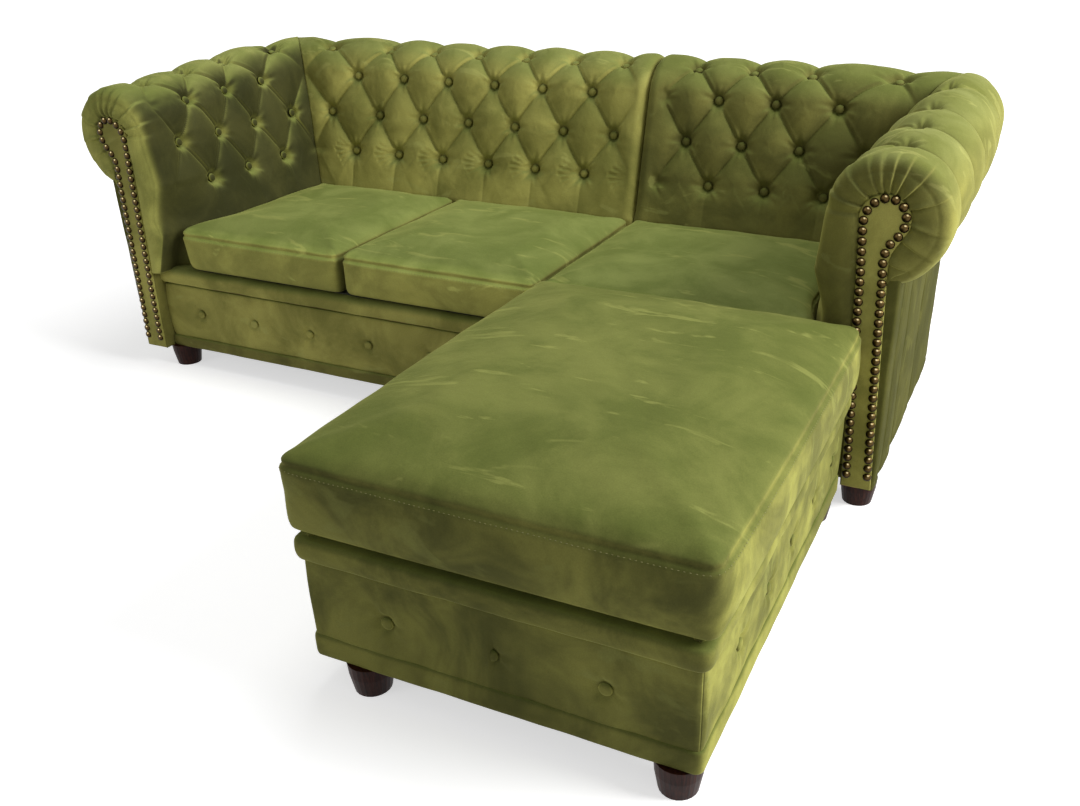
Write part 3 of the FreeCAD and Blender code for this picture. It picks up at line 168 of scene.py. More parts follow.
def plush_velvet(name, shade, lean=None, share=0.3, sheen=0.34):
    """Cotton-backed polyester plush, woven with a short pile that is brushed by hand: soft
    sheen at grazing angles, patches where the pile lies another way, and no gloss. Where a
    face turns along the lean, its colour is multiplied by the share: painted shade below 1,
    painted light above it."""
    made, tree, spot = blank_material(name)
    # Patches of pile brushed one way are 60 to 220 mm across.
    broad = add(tree, "TexNoise", {"Scale": 6, "Detail": 4.5, "Roughness": 0.6, "Distortion": 0.5},
                {"Vector": spot})
    patch = add(tree, "MapRange", {"From Min": 0.34, "From Max": 0.68}, {"Value": broad.outputs["Fac"]},
                interpolation_type="SMOOTHSTEP")
    # Strokes of a hand are about 90 mm long and 20 mm wide, slanting across each face.
    slant = add(tree, "Mapping", {"Rotation": (0.3, 0.5, 0.9), "Scale": (6, 24, 12)},
                {"Vector": spot})
    stroke = add(tree, "TexNoise", {"Scale": 1, "Detail": 3.5, "Roughness": 0.6, "Distortion": 0.7},
                 {"Vector": slant.outputs[0]})
    streak = add(tree, "MapRange", {"From Min": 0.59, "From Max": 0.67},
                 {"Value": stroke.outputs["Fac"]}, interpolation_type="SMOOTHSTEP")
    speckle = add(tree, "TexNoise", {"Scale": 420, "Detail": 2}, {"Vector": spot})
    # Upright faces are painted warm and level ones greener, by their normal: painted light and
    # shade of the pile, standing for how its faces catch the light.
    facing = add(tree, "NewGeometry")
    upright = add(tree, "SeparateXYZ", links={0: facing.outputs["Normal"]})
    level = add(tree, "MapRange", {"From Min": 0.1, "From Max": 0.95},
                {"Value": upright.outputs["Z"]}, interpolation_type="SMOOTHSTEP")
    warm = add(tree, "Mix", {6: linear(shade[0]), 7: linear(shade[1])}, {0: patch.outputs[0]},
               data_type="RGBA")
    green = add(tree, "Mix", {6: linear(shade[2]), 7: linear(shade[3])}, {0: patch.outputs[0]},
                data_type="RGBA")
    pile = add(tree, "Mix", links={0: level.outputs[0], 6: warm.outputs[2], 7: green.outputs[2]},
               data_type="RGBA")
    mark = add(tree, "Math", {1: 0.36}, {0: streak.outputs[0]}, operation="MULTIPLY")
    brushed = add(tree, "Mix", {7: linear(shade[4])}, {0: mark.outputs[0], 6: pile.outputs[2]},
                  data_type="RGBA")
    fleck = add(tree, "MapRange", {"From Min": 0.25, "From Max": 0.75, "To Min": 0.9,
                                   "To Max": 1.08}, {"Value": speckle.outputs["Fac"]})
    tone = add(tree, "Mix", {0: 1.0}, {6: brushed.outputs[2], 7: fleck.outputs[0]},
               data_type="RGBA", blend_type="MULTIPLY")
    # Pile tips are about 1 mm apart and crushed in soft dents about 20 mm across.
    tips = add(tree, "TexNoise", {"Scale": 900, "Detail": 1}, {"Vector": spot})
    dents = add(tree, "TexNoise", {"Scale": 38, "Detail": 3, "Roughness": 0.5}, {"Vector": spot})
    coarse = add(tree, "Bump", {"Strength": 0.35, "Distance": 0.004}, {"Height": dents.outputs["Fac"]})
    fine = add(tree, "Bump", {"Strength": 0.25, "Distance": 0.0006},
               {"Height": tips.outputs["Fac"], "Normal": coarse.outputs[0]})
    skin = add(tree, "BsdfPrincipled",
               {"Roughness": 0.8, "IOR": 1.45, "Specular IOR Level": 0.5 * sheen, "Sheen Weight": sheen,
                "Sheen Roughness": 0.3, "Sheen Tint": linear("#b7b766")},
               {"Base Color": tone.outputs[2], "Normal": fine.outputs[0]})
    # Painted light and shade by facing: the colour is multiplied by the share where a face turns along the
    # lean.
    if lean:
        along = add(tree, "VectorMath", {1: lean}, {0: facing.outputs["Normal"]},
                    operation="DOT_PRODUCT")
        painted_facing_light_and_shade = add(tree, "MapRange", {"From Min": 0.3, "From Max": 0.98, "To Min": 1.0,
                                        "To Max": share}, {"Value": along.outputs["Value"]},
                     interpolation_type="SMOOTHSTEP")
        leaning = add(tree, "Mix", {0: 1.0}, {6: tone.outputs[2], 7: painted_facing_light_and_shade.outputs[0]},
                      data_type="RGBA", blend_type="MULTIPLY")
        tree.links.new(leaning.outputs[2], skin.inputs["Base Color"])
    add(tree, "OutputMaterial", links={"Surface": skin.outputs[0]})
    return made


# Copies of one velvet painted lighter or darker piece by piece: painted light and shade per part.
velvet = plush_velvet("brushed_plush_velvet", ("#59572a", "#7a763b", "#60672d", "#71773b", "#989a55"))
# Painted lighter for the parts that stand in light: painted light.
light_velvet = plush_velvet("plush_velvet_brushed_up",
                            ("#7f7c3d", "#aaa457", "#697034", "#7d8244", "#a7a75f"))
# Faces turned to the front are painted lighter: painted light.
seat_velvet = plush_velvet("plush_velvet_of_the_seats",
                           ("#5f5e2d", "#7b783c", "#646f33", "#7a8344", "#9fa158"), (0, -1, 0), 2.2)
# Painted darker for the outer sides, painted shade, with front faces painted lighter: painted light.
shaded_velvet = plush_velvet("plush_velvet_outer_sides",
                             ("#444421", "#56552a", "#4e5729", "#5d6531", "#6c6b38"), (0, -1, 0), 1.35,
                             0.06)
# Painted shade on faces turned to the seat, on the left arm, and to the front, on the right arm.
inner_shaded_velvet = plush_velvet("plush_velvet_brushed_inward",
                             ("#80813f", "#acaa59", "#727a3a", "#8c914e", "#9c9d58"), (1, 0, 0), 0.14)
front_shaded_velvet = plush_velvet("plush_velvet_brushed_back",
                               ("#77753a", "#99954b", "#6c7133", "#82864a", "#aaa962"), (0, -1, 0), 0.6)
# Faces turned to the front are painted darker: painted shade.
ottoman_velvet = plush_velvet("plush_velvet_of_the_ottoman",
                              ("#64642e", "#a4a251", "#5a622a", "#71763a", "#9da057"), (0, -1, 0), 0.54)

SOFA_WIDTH = 1960
ROOT = (980, -22.5, 0)


def in_frame(points):
    """Millimetres from the left arm's outer side and the front rail, as metres in the frame."""
    return (np.asarray(points, float) - ROOT) / 1000


def mirrored(points):
    """The same piece at the other arm."""
    turned = np.array(points, float)
    turned[..., 0] = SOFA_WIDTH - turned[..., 0]
    return turned


def piece(name, shape, body, stands_for, material=velvet, smooth=True):
    """Keeps a shape as a piece of the object, riding on its body in place of its CAD nodes."""
    mesh = bpy.data.meshes.new(name)
    shape.to_mesh(mesh)
    shape.free()
    mesh.materials.append(material)
    mesh.polygons.foreach_set("use_smooth", [smooth] * len(mesh.polygons))
    made = bpy.data.objects.new(name, mesh)
    bpy.context.scene.collection.objects.link(made)
    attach(made, body)
    if stands_for:
        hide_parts(*stands_for)
    return made


def grid(points, middle=None):
    """A sheet through rows of points in the sofa's millimetres, facing away from a middle."""
    rows, columns = points.shape[:2]
    shape = bmesh.new()
    bmesh.ops.create_grid(shape, x_segments=columns - 1, y_segments=rows - 1, size=1)
    for vertex, place in zip(shape.verts, in_frame(points).reshape(-1, 3).tolist()):
        vertex.co = place
    bmesh.ops.remove_doubles(shape, verts=shape.verts, dist=2e-5)
    shape.normal_update()
    if middle is not None:
        centre = Vector(in_frame(middle))
        outward = sum(face.normal.dot(face.calc_center_median() - centre) * face.calc_area()
                      for face in shape.faces)
        if outward < 0:
            bmesh.ops.reverse_faces(shape, faces=shape.faces)
    return shape


# Inner faces of the arms and the backs, where they start to lean, and the joint of the units.
ARM_FACE, BACK_FACE, SEAT, PAD_BOTTOM = 187, 545, 384, 273
UNIT_JOINT = 1187
# Half the pitch of two buttons in a row, the pitch of the rows, and the first column of each pad.
COLUMN, ROW, ROWS = 73.5, 105, 4
ARM_START, BACK_START = 600, 144
# Points of the cloth to a column or row, and the length that stands for the way round the roll.
FINE, ROLL_SPAN = 24, 360
# An arm's section where it meets the back, over the back's, and how the columns close up there.
CORNER_SHARE = 0.91
FAN = (1, 0.8, 0.55, 0.33, 0.15, 0.05, 0)
# Depths of a button's pit, an upright pleat and a slanting fold, and a button's foot and dent.
PIT, PLEAT, CREASE = 31, 10, 16.5
FOOT, DENT = 9, 12
# How far each tuck's upper side stands out and its lower one dips.
LAP_OUT, LAP_IN = 1.9, 2
# A pad's hem and core behind its face, and its core's top.
ARM_BACKING, BACK_BACKING = (159, 116, 560), (127.6, 94, 575)
# An arm pad starts to round at its front edge, and ends under its facing.
ARM_FRONT, FRONT_EDGE, FRONT_END, FRONT_INSET = -30, -2.0, -34.0, 25.0
JOINT_ROUND, JOINT_INSET = 26, 22


def even_gap(value):
    """Distance of a value to the nearest even whole number."""
    return np.abs((value + 1) % 2 - 1)


def swell(distance):
    return np.sin(math.pi / 2 * np.clip(distance, 0, 1)) ** 0.62


def ease(value):
    """A soft step from 0 to 1."""
    value = np.clip(value, 0, 1)
    return value * value * (3 - 2 * value)


def tufts(column, row, seed, fanned):
    """How far the velvet lies below the tops of the puffs, in millimetres: creases between the
    buttons, a pit at each, straight pleats below and above them, and the velvet's wrinkles.
    Under a fanned pad's lowest buttons more wrinkles spread."""
    one, other = even_gap(column + row - 1), even_gap(column - row + 1)
    near_one, near_other = np.round((column + row - 1) / 2), np.round((column - row + 1) / 2)
    button_column, button_row = near_one + near_other, near_one - near_other + 1
    across, up = (column - button_column) * COLUMN, (row - button_row) * ROW
    away = np.hypot(across, up)
    held = (button_row > 0.5) & (button_row < ROWS + 0.5) & (button_column > 0.5)
    diamond = CREASE * (1 - swell(one) * swell(other))
    below = PLEAT * (1 - swell(even_gap(column))) * (0.4 + 0.6 * np.clip(row, 0, 1))
    fade = np.clip(1 - (row - ROWS) / 4, 0, 1)
    above = 1.9 * PLEAT * (1 - swell(even_gap(column + 1))) * (0.25 + 0.75 * fade)
    depth = diamond + (below - diamond) * ease((1 - row) / 0.22)
    depth = depth + (above - depth) * ease((row - ROWS) / 0.22)
    pit = np.where(held, PIT / (1 + (np.maximum(away - FOOT, 0) / DENT) ** 2), 0)
    depth = (np.maximum(depth, 0) ** 3 + pit ** 3) ** (1 / 3)
    # Each crease is a tuck, whose upper side laps over the lower one.
    tucked = ease((row - 0.6) / 0.4) * ease((ROWS + 0.5 - row) / 0.5) * ease((column - 0.3) / 0.5)
    for offset, upper in ((column + row - 1, 1), (column - row + 1, -1)):
        past = ((offset + 1) % 2 - 1) * upper
        lap = LAP_OUT * np.exp(-((past - 0.1) / 0.05) ** 2)
        lap = lap - LAP_IN * np.exp(-((past + 0.005) / 0.04) ** 2)
        depth = depth - lap * tucked * ease((away - 14) / 16)
    depth = depth + 4 * np.exp(-(column / 0.32) ** 2) * ease(row - 3)
    # Short wrinkles run out from each button, and long waves cross the free cloth.
    turn = np.arctan2(up, across)
    phase = np.sin(12.9898 * button_column + 78.233 * button_row + seed) * 3
    close = np.exp(-((away - 24) / 17) ** 2)
    ray = 1.3 * close * np.cos(7 * turn + phase) + 0.8 * close * np.cos(12 * turn - 2 * phase)
    lean = np.abs(np.abs(turn + 0.12 * np.sin(phase)) - math.pi)
    fan = 3.4 * np.exp(-(lean / 0.55) ** 2) * ease((away - 12) / 12) * ease((84 - away) / 40)
    fan = fan * np.cos(24 * turn + phase) * (button_row == 1) * fanned
    wave = 1.6 * np.sin(0.9 * column + 1.7 * row + seed) + 1.1 * np.sin(2.3 * column - 1.3 * row)
    free = ease((row + 0.25) / 0.3)
    return depth + np.where(held, ray + fan, 0) + wave * swell(one) * swell(other) * free


# A seat cushion's outer front corner spreads over the arm's foam, which gives way to it.
FLARE, FLARE_ROOM, FLARE_LENGTH = 34, 42, 170
# How far an arm's front draws in at its foot, and the height where that starts.
TAPER, TAPER_TOP = 80, 508


def flare_share(depth):
    """How much of its flare a seat cushion's outer end has at a depth behind the front rail."""
    return ease(1 - (depth + 3) / FLARE_LENGTH)


def roll_section(share):
    """Reach, height and radii of a pad's roll, from an arm's front at 0 to the back's at 1."""
    front = np.array((146, 610, 120, 120), float)
    rear = np.array((200 * CORNER_SHARE, 655, 116 * CORNER_SHARE, 116), float)
    return (front[:, None] + (rear - front)[:, None] * np.clip(share, 0, 1)[None, :])[..., None]


# A facing's inner side at its foot, its foot's height, and the height and spread of its leg.
LEG_SIDE, LEG_FOOT, LEG_RISE, LEG_SPREAD = 65, 60, 541.9, 20.2
BULB_X, BULB_Z, BULB_RADIUS = 41, 618, 47
BULB_TURNS, BULB_POINTS = (-20, 205), 60


def facing_outline():
    """The keyhole facing's edge from its inner leg at the pad's bottom, over its round head and
    the neck to its outer leg at the roll's hem, in the arm's own distance and height."""
    points = [(LEG_SIDE + LEG_SPREAD * (PAD_BOTTOM - LEG_FOOT) / LEG_RISE, PAD_BOTTOM)]
    for turn in np.linspace(*np.radians(BULB_TURNS), BULB_POINTS):
        points.append((BULB_X + BULB_RADIUS * math.cos(turn), BULB_Z + BULB_RADIUS * math.sin(turn)))
    points += [(25.5, 548), (23.2, 493)]
    return np.array(points)


# Turns round the roll, in degrees, and heights of the gathered folds.
FRONT_PLEATS = [(-16, 4.4), (-5, 5.2), (6, 5), (22, 8), (47, 8.6), (68, 5.6), (80, 7), (93, 6.4),
                (106, 6.8), (124, 7.6), (152, 8.4), (187, 8), (214, 7), (240, 5)]


def pleats(turn):
    """Height of the gathered folds at a turn round the roll, in degrees: each rises slowly and
    drops sharply behind its crest."""
    height = np.zeros_like(turn)
    for crest, size in FRONT_PLEATS:
        off = turn - crest
        rise = np.exp(-(np.minimum(off, 0) / 6.5) ** 2) * (off <= 0)
        drop = (1 - 1.6 * ease(off / 1.8)) * np.exp(-(np.maximum(off, 0) / 6) ** 2) * (off > 0)
        height += size * (rise + drop)
    return height


def pad_end(arm, right):
    """An arm's front, or the end of a back pad beside the other unit's."""
    return ARM_FRONT if arm else (SOFA_WIDTH - UNIT_JOINT - 1 if right else UNIT_JOINT - 1)


def pad_places(arm, right):
    """Stations along a pad: place, how far its end is drawn in, how far it has turned in, and
    the share of the way from the round end to the facing."""
    step = COLUMN / FINE
    if arm:
        places = np.append(np.arange(ARM_START, FRONT_EDGE, -step), FRONT_EDGE)
        bow = np.linspace(0, math.pi / 2, 14)[1:]
        closing = np.linspace(0, 1, 19)[1:]
        rounded = FRONT_EDGE + (FRONT_END - FRONT_EDGE) * np.sin(bow)
        place = np.concatenate((places, rounded, np.full(18, FRONT_END)))
        inset = np.concatenate((0 * places, FRONT_INSET * (1 - np.cos(bow)), np.full(18, FRONT_INSET)))
        turned_in = np.concatenate((0 * places, bow / (math.pi / 2), np.ones(18)))
        return place, inset, turned_in, np.concatenate((0 * places, 0 * bow, closing))
    start = pad_end(arm, right) - JOINT_ROUND
    places = np.append(np.arange(BACK_START, start, step), float(start))
    bow = np.linspace(0, math.pi / 2, 11)[1:]
    place = np.concatenate((places, start + JOINT_ROUND * np.sin(bow)))
    inset = np.concatenate((0 * places, JOINT_INSET * (1 - np.cos(bow))))
    return place, inset, 0 * place, 0 * place


def pad_surface(arm, right, place, inset, turned_in, closing, travels, seed):
    """Points of the velvet and its outward normals, for stations by travels up the face, round
    the roll and in to the facing."""
    end = pad_end(arm, right)
    first = ARM_START if arm else BACK_START
    flow = np.clip(place, ARM_FRONT, None) if arm else place
    if arm:
        reach, height, across, upright = roll_section((flow - end) / (first - end))
    else:
        reach, height, across, upright = roll_section(np.full(len(place), 1.0))
        reach, across = reach / CORNER_SHARE, across / CORNER_SHARE
    wall = (ARM_BACKING if arm else BACK_BACKING)[0]
    # The face leans straight up to where it touches the roll, which then goes round to the hem.
    drop = (SEAT - height) * across / upright
    start = np.arctan2(drop, reach) + np.arccos(across / np.hypot(reach, drop))
    touch = (reach - across * np.cos(start), height + upright * np.sin(start))
    slope = np.hypot(touch[0], touch[1] - SEAT)
    last = 2 * math.pi - np.arccos((reach - wall) / across)
    size = (across + upright) / 2
    under = slope + (last - start) * size
    beyond = np.clip(travels - ROWS * ROW, 0, None) / ROLL_SPAN
    travel = np.minimum(travels, ROWS * ROW)[None, :] + (under - ROWS * ROW) * beyond[None, :]
    share = np.clip(travel / slope, 0, 1)
    turn = start + np.clip(travel - slope, 0, None) / size
    on_roll = travel > slope
    low = travel < 0
    behind = np.where(on_roll, reach - across * np.cos(turn), touch[0] * share)
    level = np.where(on_roll, height + upright * np.sin(turn),
                     np.where(low, SEAT + travel, SEAT + (touch[1] - SEAT) * share))
    out_x = np.where(on_roll, -np.cos(turn) * upright, np.where(low, -1, -(touch[1] - SEAT) / slope))
    out_z = np.where(on_roll, np.sin(turn) * across, np.where(low, 0, touch[0] / slope))
    length = np.hypot(out_x, out_z)
    out_x, out_z = out_x / length, out_z / length
    column = np.abs(place - first)[:, None] / COLUMN
    bow = np.interp(2 * column[:, 0], (0, 1, 2), (1, 0.3, 0))[:, None]
    drawn_corner = 44 * bow * np.clip((travel / ROW - 4.3) / 2, 0, 1)
    calm = ease((np.abs(place - end) - (34 if arm else 20)) / (80 if arm else 60))[:, None]
    sink = tufts(column + 0 * travel, travel / ROW, seed, not (arm or right)) * calm
    drawn = inset[:, None] * (0.25 + 0.75 * ease((travel + 25) / 60))
    facing_in = 0 * travel
    if arm:
        # The front narrows towards the seat, and makes room for the cushion's spread corner.
        near = ease(1 - np.clip(place - 15, 0, None) / 90)[:, None]
        tapered = TAPER * near * np.clip((TAPER_TOP - level) / (TAPER_TOP - PAD_BOTTOM), 0, 1) ** 1.1
        inner_face = 0.15 * ease(1 - (travel - slope) / 60)
        pushed = np.maximum(ease((540 - level) / 140), inner_face)
        pushed = FLARE_ROOM * flare_share(flow)[:, None] * pushed
        behind = behind + np.maximum(tapered, pushed)
        angle = np.degrees(turn) - (1 - share) * 22
        from_facing = np.clip(place - FRONT_END, 0, None)[:, None] + (1 - closing)[:, None] * BULB_RADIUS
        spread = np.interp(angle, (0, 120, 175), (62, 56, 34))
        gathered = np.exp(-(from_facing / spread) ** 2) * (1 - 0.3 * closing)[:, None]
        gathered = gathered * ease((travel - 150) / 60) * ease((under - travel) / 30)
        facing_in = pleats(angle) * gathered
        drawn = drawn - facing_in * np.cos(turned_in * math.pi / 2)[:, None]
    sunk = sink + drawn + drawn_corner
    behind, level = behind - out_x * sunk, level - out_z * sunk
    fan = np.interp(2 * column[:, 0], range(7), FAN)[:, None]
    if arm:
        corner = BACK_FACE - 0.15 + behind / CORNER_SHARE
    else:
        corner = ARM_FACE + 0.15 - CORNER_SHARE * behind
    along = place[:, None] + (corner - first) * fan
    if not arm:
        points = np.stack((along, BACK_FACE + behind, level), axis=-1)
        normals = np.stack((0 * out_x, out_x, out_z), axis=-1)
        return points, normals
    # Each place up the pad is drawn to its own place on the facing's edge.
    edge = facing_outline()
    run = np.append(0, np.cumsum(np.hypot(*np.diff(edge, axis=0).T)))
    at_leg = np.interp(LEG_FOOT + LEG_RISE, (SEAT, touch[1][0, 0]), (0, slope[0, 0]))
    bulb_start, bulb_stop = np.radians(BULB_TURNS)
    lift = BULB_RADIUS * (start[:, 0] - bulb_start)
    each = np.ones(len(place))
    knots = np.stack(((PAD_BOTTOM - SEAT) * each, at_leg * each, slope[:, 0],
                      slope[:, 0] + (bulb_stop - start[:, 0]) * size[:, 0], under[:, 0]))
    marks = np.stack((0 * each, run[1] * each, run[1] + lift, run[BULB_POINTS] * each, run[-1] * each))
    goal = np.stack([np.interp(travel[i], knots[:, i], marks[:, i]) for i in range(len(place))])
    goal_x, goal_z = np.interp(goal, run, edge[:, 0]), np.interp(goal, run, edge[:, 1])
    x = ARM_FACE - behind
    part = closing[:, None]
    x, level = x + (goal_x - x) * part, level + (goal_z - level) * part
    swollen = 5 * np.sin(math.pi * np.clip(part, 0, 1)) ** 0.8 - 0 * travel
    y = along - swollen + 2.5 * ease((part - 0.82) / 0.18)
    y = y - facing_in * np.sin(turned_in * math.pi / 2)[:, None]
    return np.stack((x, y, level), axis=-1), np.stack((-out_x, 0 * out_x, out_z), axis=-1)


def tufted_pad(arm, right):
    """One pad as a closed shell: velvet outside, and its flat back against the frame."""
    side = "right" if right else "left"
    name = side + ("_arm_pad" if arm else "_back_pad")
    seed = 1.7 * arm + 0.9 * right
    rise = np.arange(PAD_BOTTOM - SEAT, ROWS * ROW, ROW / FINE)
    rolled = np.linspace(0, 1, 196 if arm else 96) * ROLL_SPAN
    travels = np.concatenate((rise, ROWS * ROW + rolled))
    stations = pad_places(arm, right)
    points = pad_surface(arm, right, *stations, travels, seed)[0]
    place, closing = stations[0], stations[3]
    wall, core, top = ARM_BACKING if arm else BACK_BACKING
    hem = points[:, -1, 2]
    first = ARM_START if arm else BACK_START
    fan = np.interp(2 * np.abs(place - first) / COLUMN, range(7), FAN)
    inner = []
    for behind, level in ((wall, None), (wall, top), (core, top), (core, PAD_BOTTOM)):
        height = hem if level is None else np.full(len(place), float(level))
        if level is None:
            height = np.where(closing > 0, hem[np.argmax(closing > 0) - 1], hem)
        if arm:
            along = np.maximum(place, ARM_FRONT - 1)
            along = along + (BACK_FACE - 0.15 + behind / CORNER_SHARE - first) * fan
            inner.append(np.stack((np.full(len(place), ARM_FACE - behind), along, height), axis=-1))
        else:
            along = place + (ARM_FACE + 0.15 - CORNER_SHARE * behind - first) * fan
            inner.append(np.stack((along, np.full(len(place), BACK_FACE + behind), height), axis=-1))
    points = np.concatenate((points, np.stack(inner, axis=1), points[:, :1]), axis=1)
    if right:
        points = mirrored(points)
    shape = grid(points)
    rim = [edge for edge in shape.edges if edge.is_boundary]
    bmesh.ops.holes_fill(shape, edges=rim, sides=0)
    bmesh.ops.recalc_face_normals(shape, faces=shape.faces)
    cloth = {(True, False): inner_shaded_velvet, (True, True): front_shaded_velvet,
             (False, False): light_velvet, (False, True): velvet}[arm, right]
    made = piece(name + "_velvet", shape, "sofa", [name], cloth)
    return made, seed


def covered_button(shape, centre, normal, radius=11, height=5.2):
    """A mould covered with velvet: a low dome with a soft rim, added to a shape."""
    turn = Vector((0, 0, 1)).rotation_difference(Vector(normal)).to_matrix().to_4x4()
    place = Matrix.Translation(Vector(in_frame(centre))) @ turn
    flat = Matrix.Diagonal((1, 1, height / radius, 1))
    bmesh.ops.create_uvsphere(shape, u_segments=16, v_segments=9, radius=radius / 1000,
                              matrix=place @ flat)


for arm in (True, False):
    for right in (False, True):
        made, seed = tufted_pad(arm, right)
        side = "right" if right else "left"
        name = side + ("_arm_buttons" if arm else "_back_buttons")
        last_column = 7 if arm else (7 if right else 13)
        spots = [(column, row) for column in range(1, last_column + 1)
                 for row in range(1, ROWS + 1) if (column + row) % 2 == 1]
        first, way = (ARM_START, -1) if arm else (BACK_START, 1)
        knobs = bmesh.new()
        for column, row in spots:
            place = np.array([first + way * COLUMN * column])
            points, normals = pad_surface(arm, right, place, 0 * place, 0 * place, 0 * place,
                                          np.array([float(row * ROW)]), seed)
            point, normal = points[0, 0], normals[0, 0]
            if right:
                point = mirrored(point)
                normal = normal * (-1, 1, 1)
            covered_button(knobs, point + 8 * normal, normal, 10.5)
        piece(name + "_velvet", knobs, "sofa", [name], made.data.materials[0])


# Arm facings: a keyhole of thin board padded with wadding, wrapped in velvet and pinned over
# the ends of the gathered folds, inside a close row of domed brass nails.

FACING_FRONT, FACING_BACK, FACING_ROUND = -36.2, -30.5, 3
BULB = [(BULB_X + BULB_RADIUS * math.cos(math.radians(turn)),
         BULB_Z + BULB_RADIUS * math.sin(math.radians(turn)))
        for turn in range(BULB_TURNS[0], BULB_TURNS[1] + 1, 5)]
# Distance from the arm's outer side and height, round from the foot.
KEYHOLE = [(5, LEG_FOOT), (LEG_SIDE, LEG_FOOT), *BULB, (6.5, 583), (15.5, 569), (22, 556),
           (25.2, 542), (25, 520)]


def keyhole_board(side):
    """The facing's rim swept back, with a softly rounded front edge."""
    shape = bmesh.new()
    rim = np.array([(x, FACING_FRONT, z) for x, z in KEYHOLE])
    if side == "right":
        rim = mirrored(rim)
    front = shape.faces.new([shape.verts.new(place) for place in in_frame(rim)])
    deep = bmesh.ops.extrude_face_region(shape, geom=[front])
    back = [item for item in deep["geom"] if isinstance(item, bmesh.types.BMVert)]
    bmesh.ops.translate(shape, verts=back, vec=(0, (FACING_BACK - FACING_FRONT) / 1000, 0))
    line = in_frame((0, FACING_FRONT + 0.1, 0))[1]
    edges = [edge for edge in shape.edges if all(vert.co.y < line for vert in edge.verts)]
    bmesh.ops.bevel(shape, geom=edges, offset=FACING_ROUND / 1000, segments=4, profile=0.5,
                    affect="EDGES", material=-1)
    bmesh.ops.recalc_face_normals(shape, faces=shape.faces)
    return shape


for side in ("left", "right"):
    made = piece(side + "_arm_facing_board", keyhole_board(side), "sofa", [side + "_arm_facing"],
                 light_velvet)
    made.data.set_sharp_from_angle(angle=math.radians(50))


# Nails: solid-domed upholstery nails of antiqued brass, hammered in edge to edge a finger's
# width inside the facing's rim, up one side, round the head and down the other.

def antiqued_brass():
    """Drawn brass darkened in acid and buffed, with stains of nearly black patina. Faces turned
    up and to the front are painted bright bronze and each dome's top a pale painted highlight,
    while its foot keeps the dark patina: painted light and shade by facing."""
    made, tree, spot = blank_material("antiqued_brass")
    # Stains are a few millimetres across, smaller than one nail's head.
    stain = add(tree, "TexNoise", {"Scale": 160, "Detail": 3}, {"Vector": spot})
    dark = add(tree, "MapRange", {"From Min": 0.35, "From Max": 0.65}, {"Value": stain.outputs["Fac"]})
    rim = add(tree, "Mix", {6: linear("#130d07"), 7: linear("#2f2314")}, {0: dark.outputs[0]},
              data_type="RGBA")
    # Painted light by facing: bronze on faces turned up and to the front, and a painted highlight at each
    # dome's top.
    facing = add(tree, "NewGeometry")
    painted_light_facing = add(tree, "VectorMath", {1: (0.22, -0.8, 0.56)}, {0: facing.outputs["Normal"]},
                 operation="DOT_PRODUCT")
    side = add(tree, "MapRange", {"From Min": 0.5, "From Max": 0.97, "To Max": 0.75},
               {"Value": painted_light_facing.outputs["Value"]})
    crown = add(tree, "MapRange", {"From Min": 0.965, "From Max": 0.997},
                {"Value": painted_light_facing.outputs["Value"]}, interpolation_type="SMOOTHSTEP")
    bronze = add(tree, "Mix", {7: linear("#5f4d2b")}, {0: side.outputs[0], 6: rim.outputs[2]},
                 data_type="RGBA")
    colour = add(tree, "Mix", {7: linear("#e6d29c")}, {0: crown.outputs[0], 6: bronze.outputs[2]},
                 data_type="RGBA")
    rough = add(tree, "MapRange", {"To Min": 0.42, "To Max": 0.26}, {"Value": dark.outputs[0]})
    skin = add(tree, "BsdfPrincipled", {"Metallic": 1.0},
               {"Base Color": colour.outputs[2], "Roughness": rough.outputs[0]})
    add(tree, "OutputMaterial", links={"Surface": skin.outputs[0]})
    return made


brass = antiqued_brass()
NAIL_PITCH, NAIL_RADIUS, NAIL_RISE, NAIL_SUNK = 19.4, 9.2, 6.4, 0.4
# The row's middle on the facing, from the outer leg's foot over the head to the inner leg's foot.
NAIL_LINE = [(14, 90), (23, 280), (29, 409), (33, 503), (35, 530), (34.5, 552), (28, 571), (17, 585),
             (8, 599), (3.8, 616), (5, 633), (13, 646), (27, 655.5), (42, 657), (58, 650), (70, 639),
             (77, 623), (79, 605), (77, 570), (73, 502), (70, 420), (61.5, 243), (56, 88)]


def smooth_line(points, spacing):
    """Places a spacing apart along a soft curve through the points."""
    points = np.array(points, float)
    ends = np.vstack((2 * points[0] - points[1], points, 2 * points[-1] - points[-2]))
    share = np.linspace(0, 1, 24, endpoint=False)[:, None]
    runs = []
    for a, b, c, d in zip(ends, ends[1:], ends[2:], ends[3:]):
        runs.append(b + share * (c - a) / 2 + share ** 2 * (a - 2.5 * b + 2 * c - d / 2)
                    + share ** 3 * (1.5 * b - 1.5 * c + (d - a) / 2))
    curve = np.vstack((*runs, points[-1:]))
    travel = np.append(0, np.cumsum(np.linalg.norm(np.diff(curve, axis=0), axis=1)))
    count = round(travel[-1] / spacing)
    stops = np.linspace(0, travel[-1], count + 1)
    return np.stack([np.interp(stops, travel, curve[:, axis]) for axis in range(curve.shape[1])],
                    axis=-1)


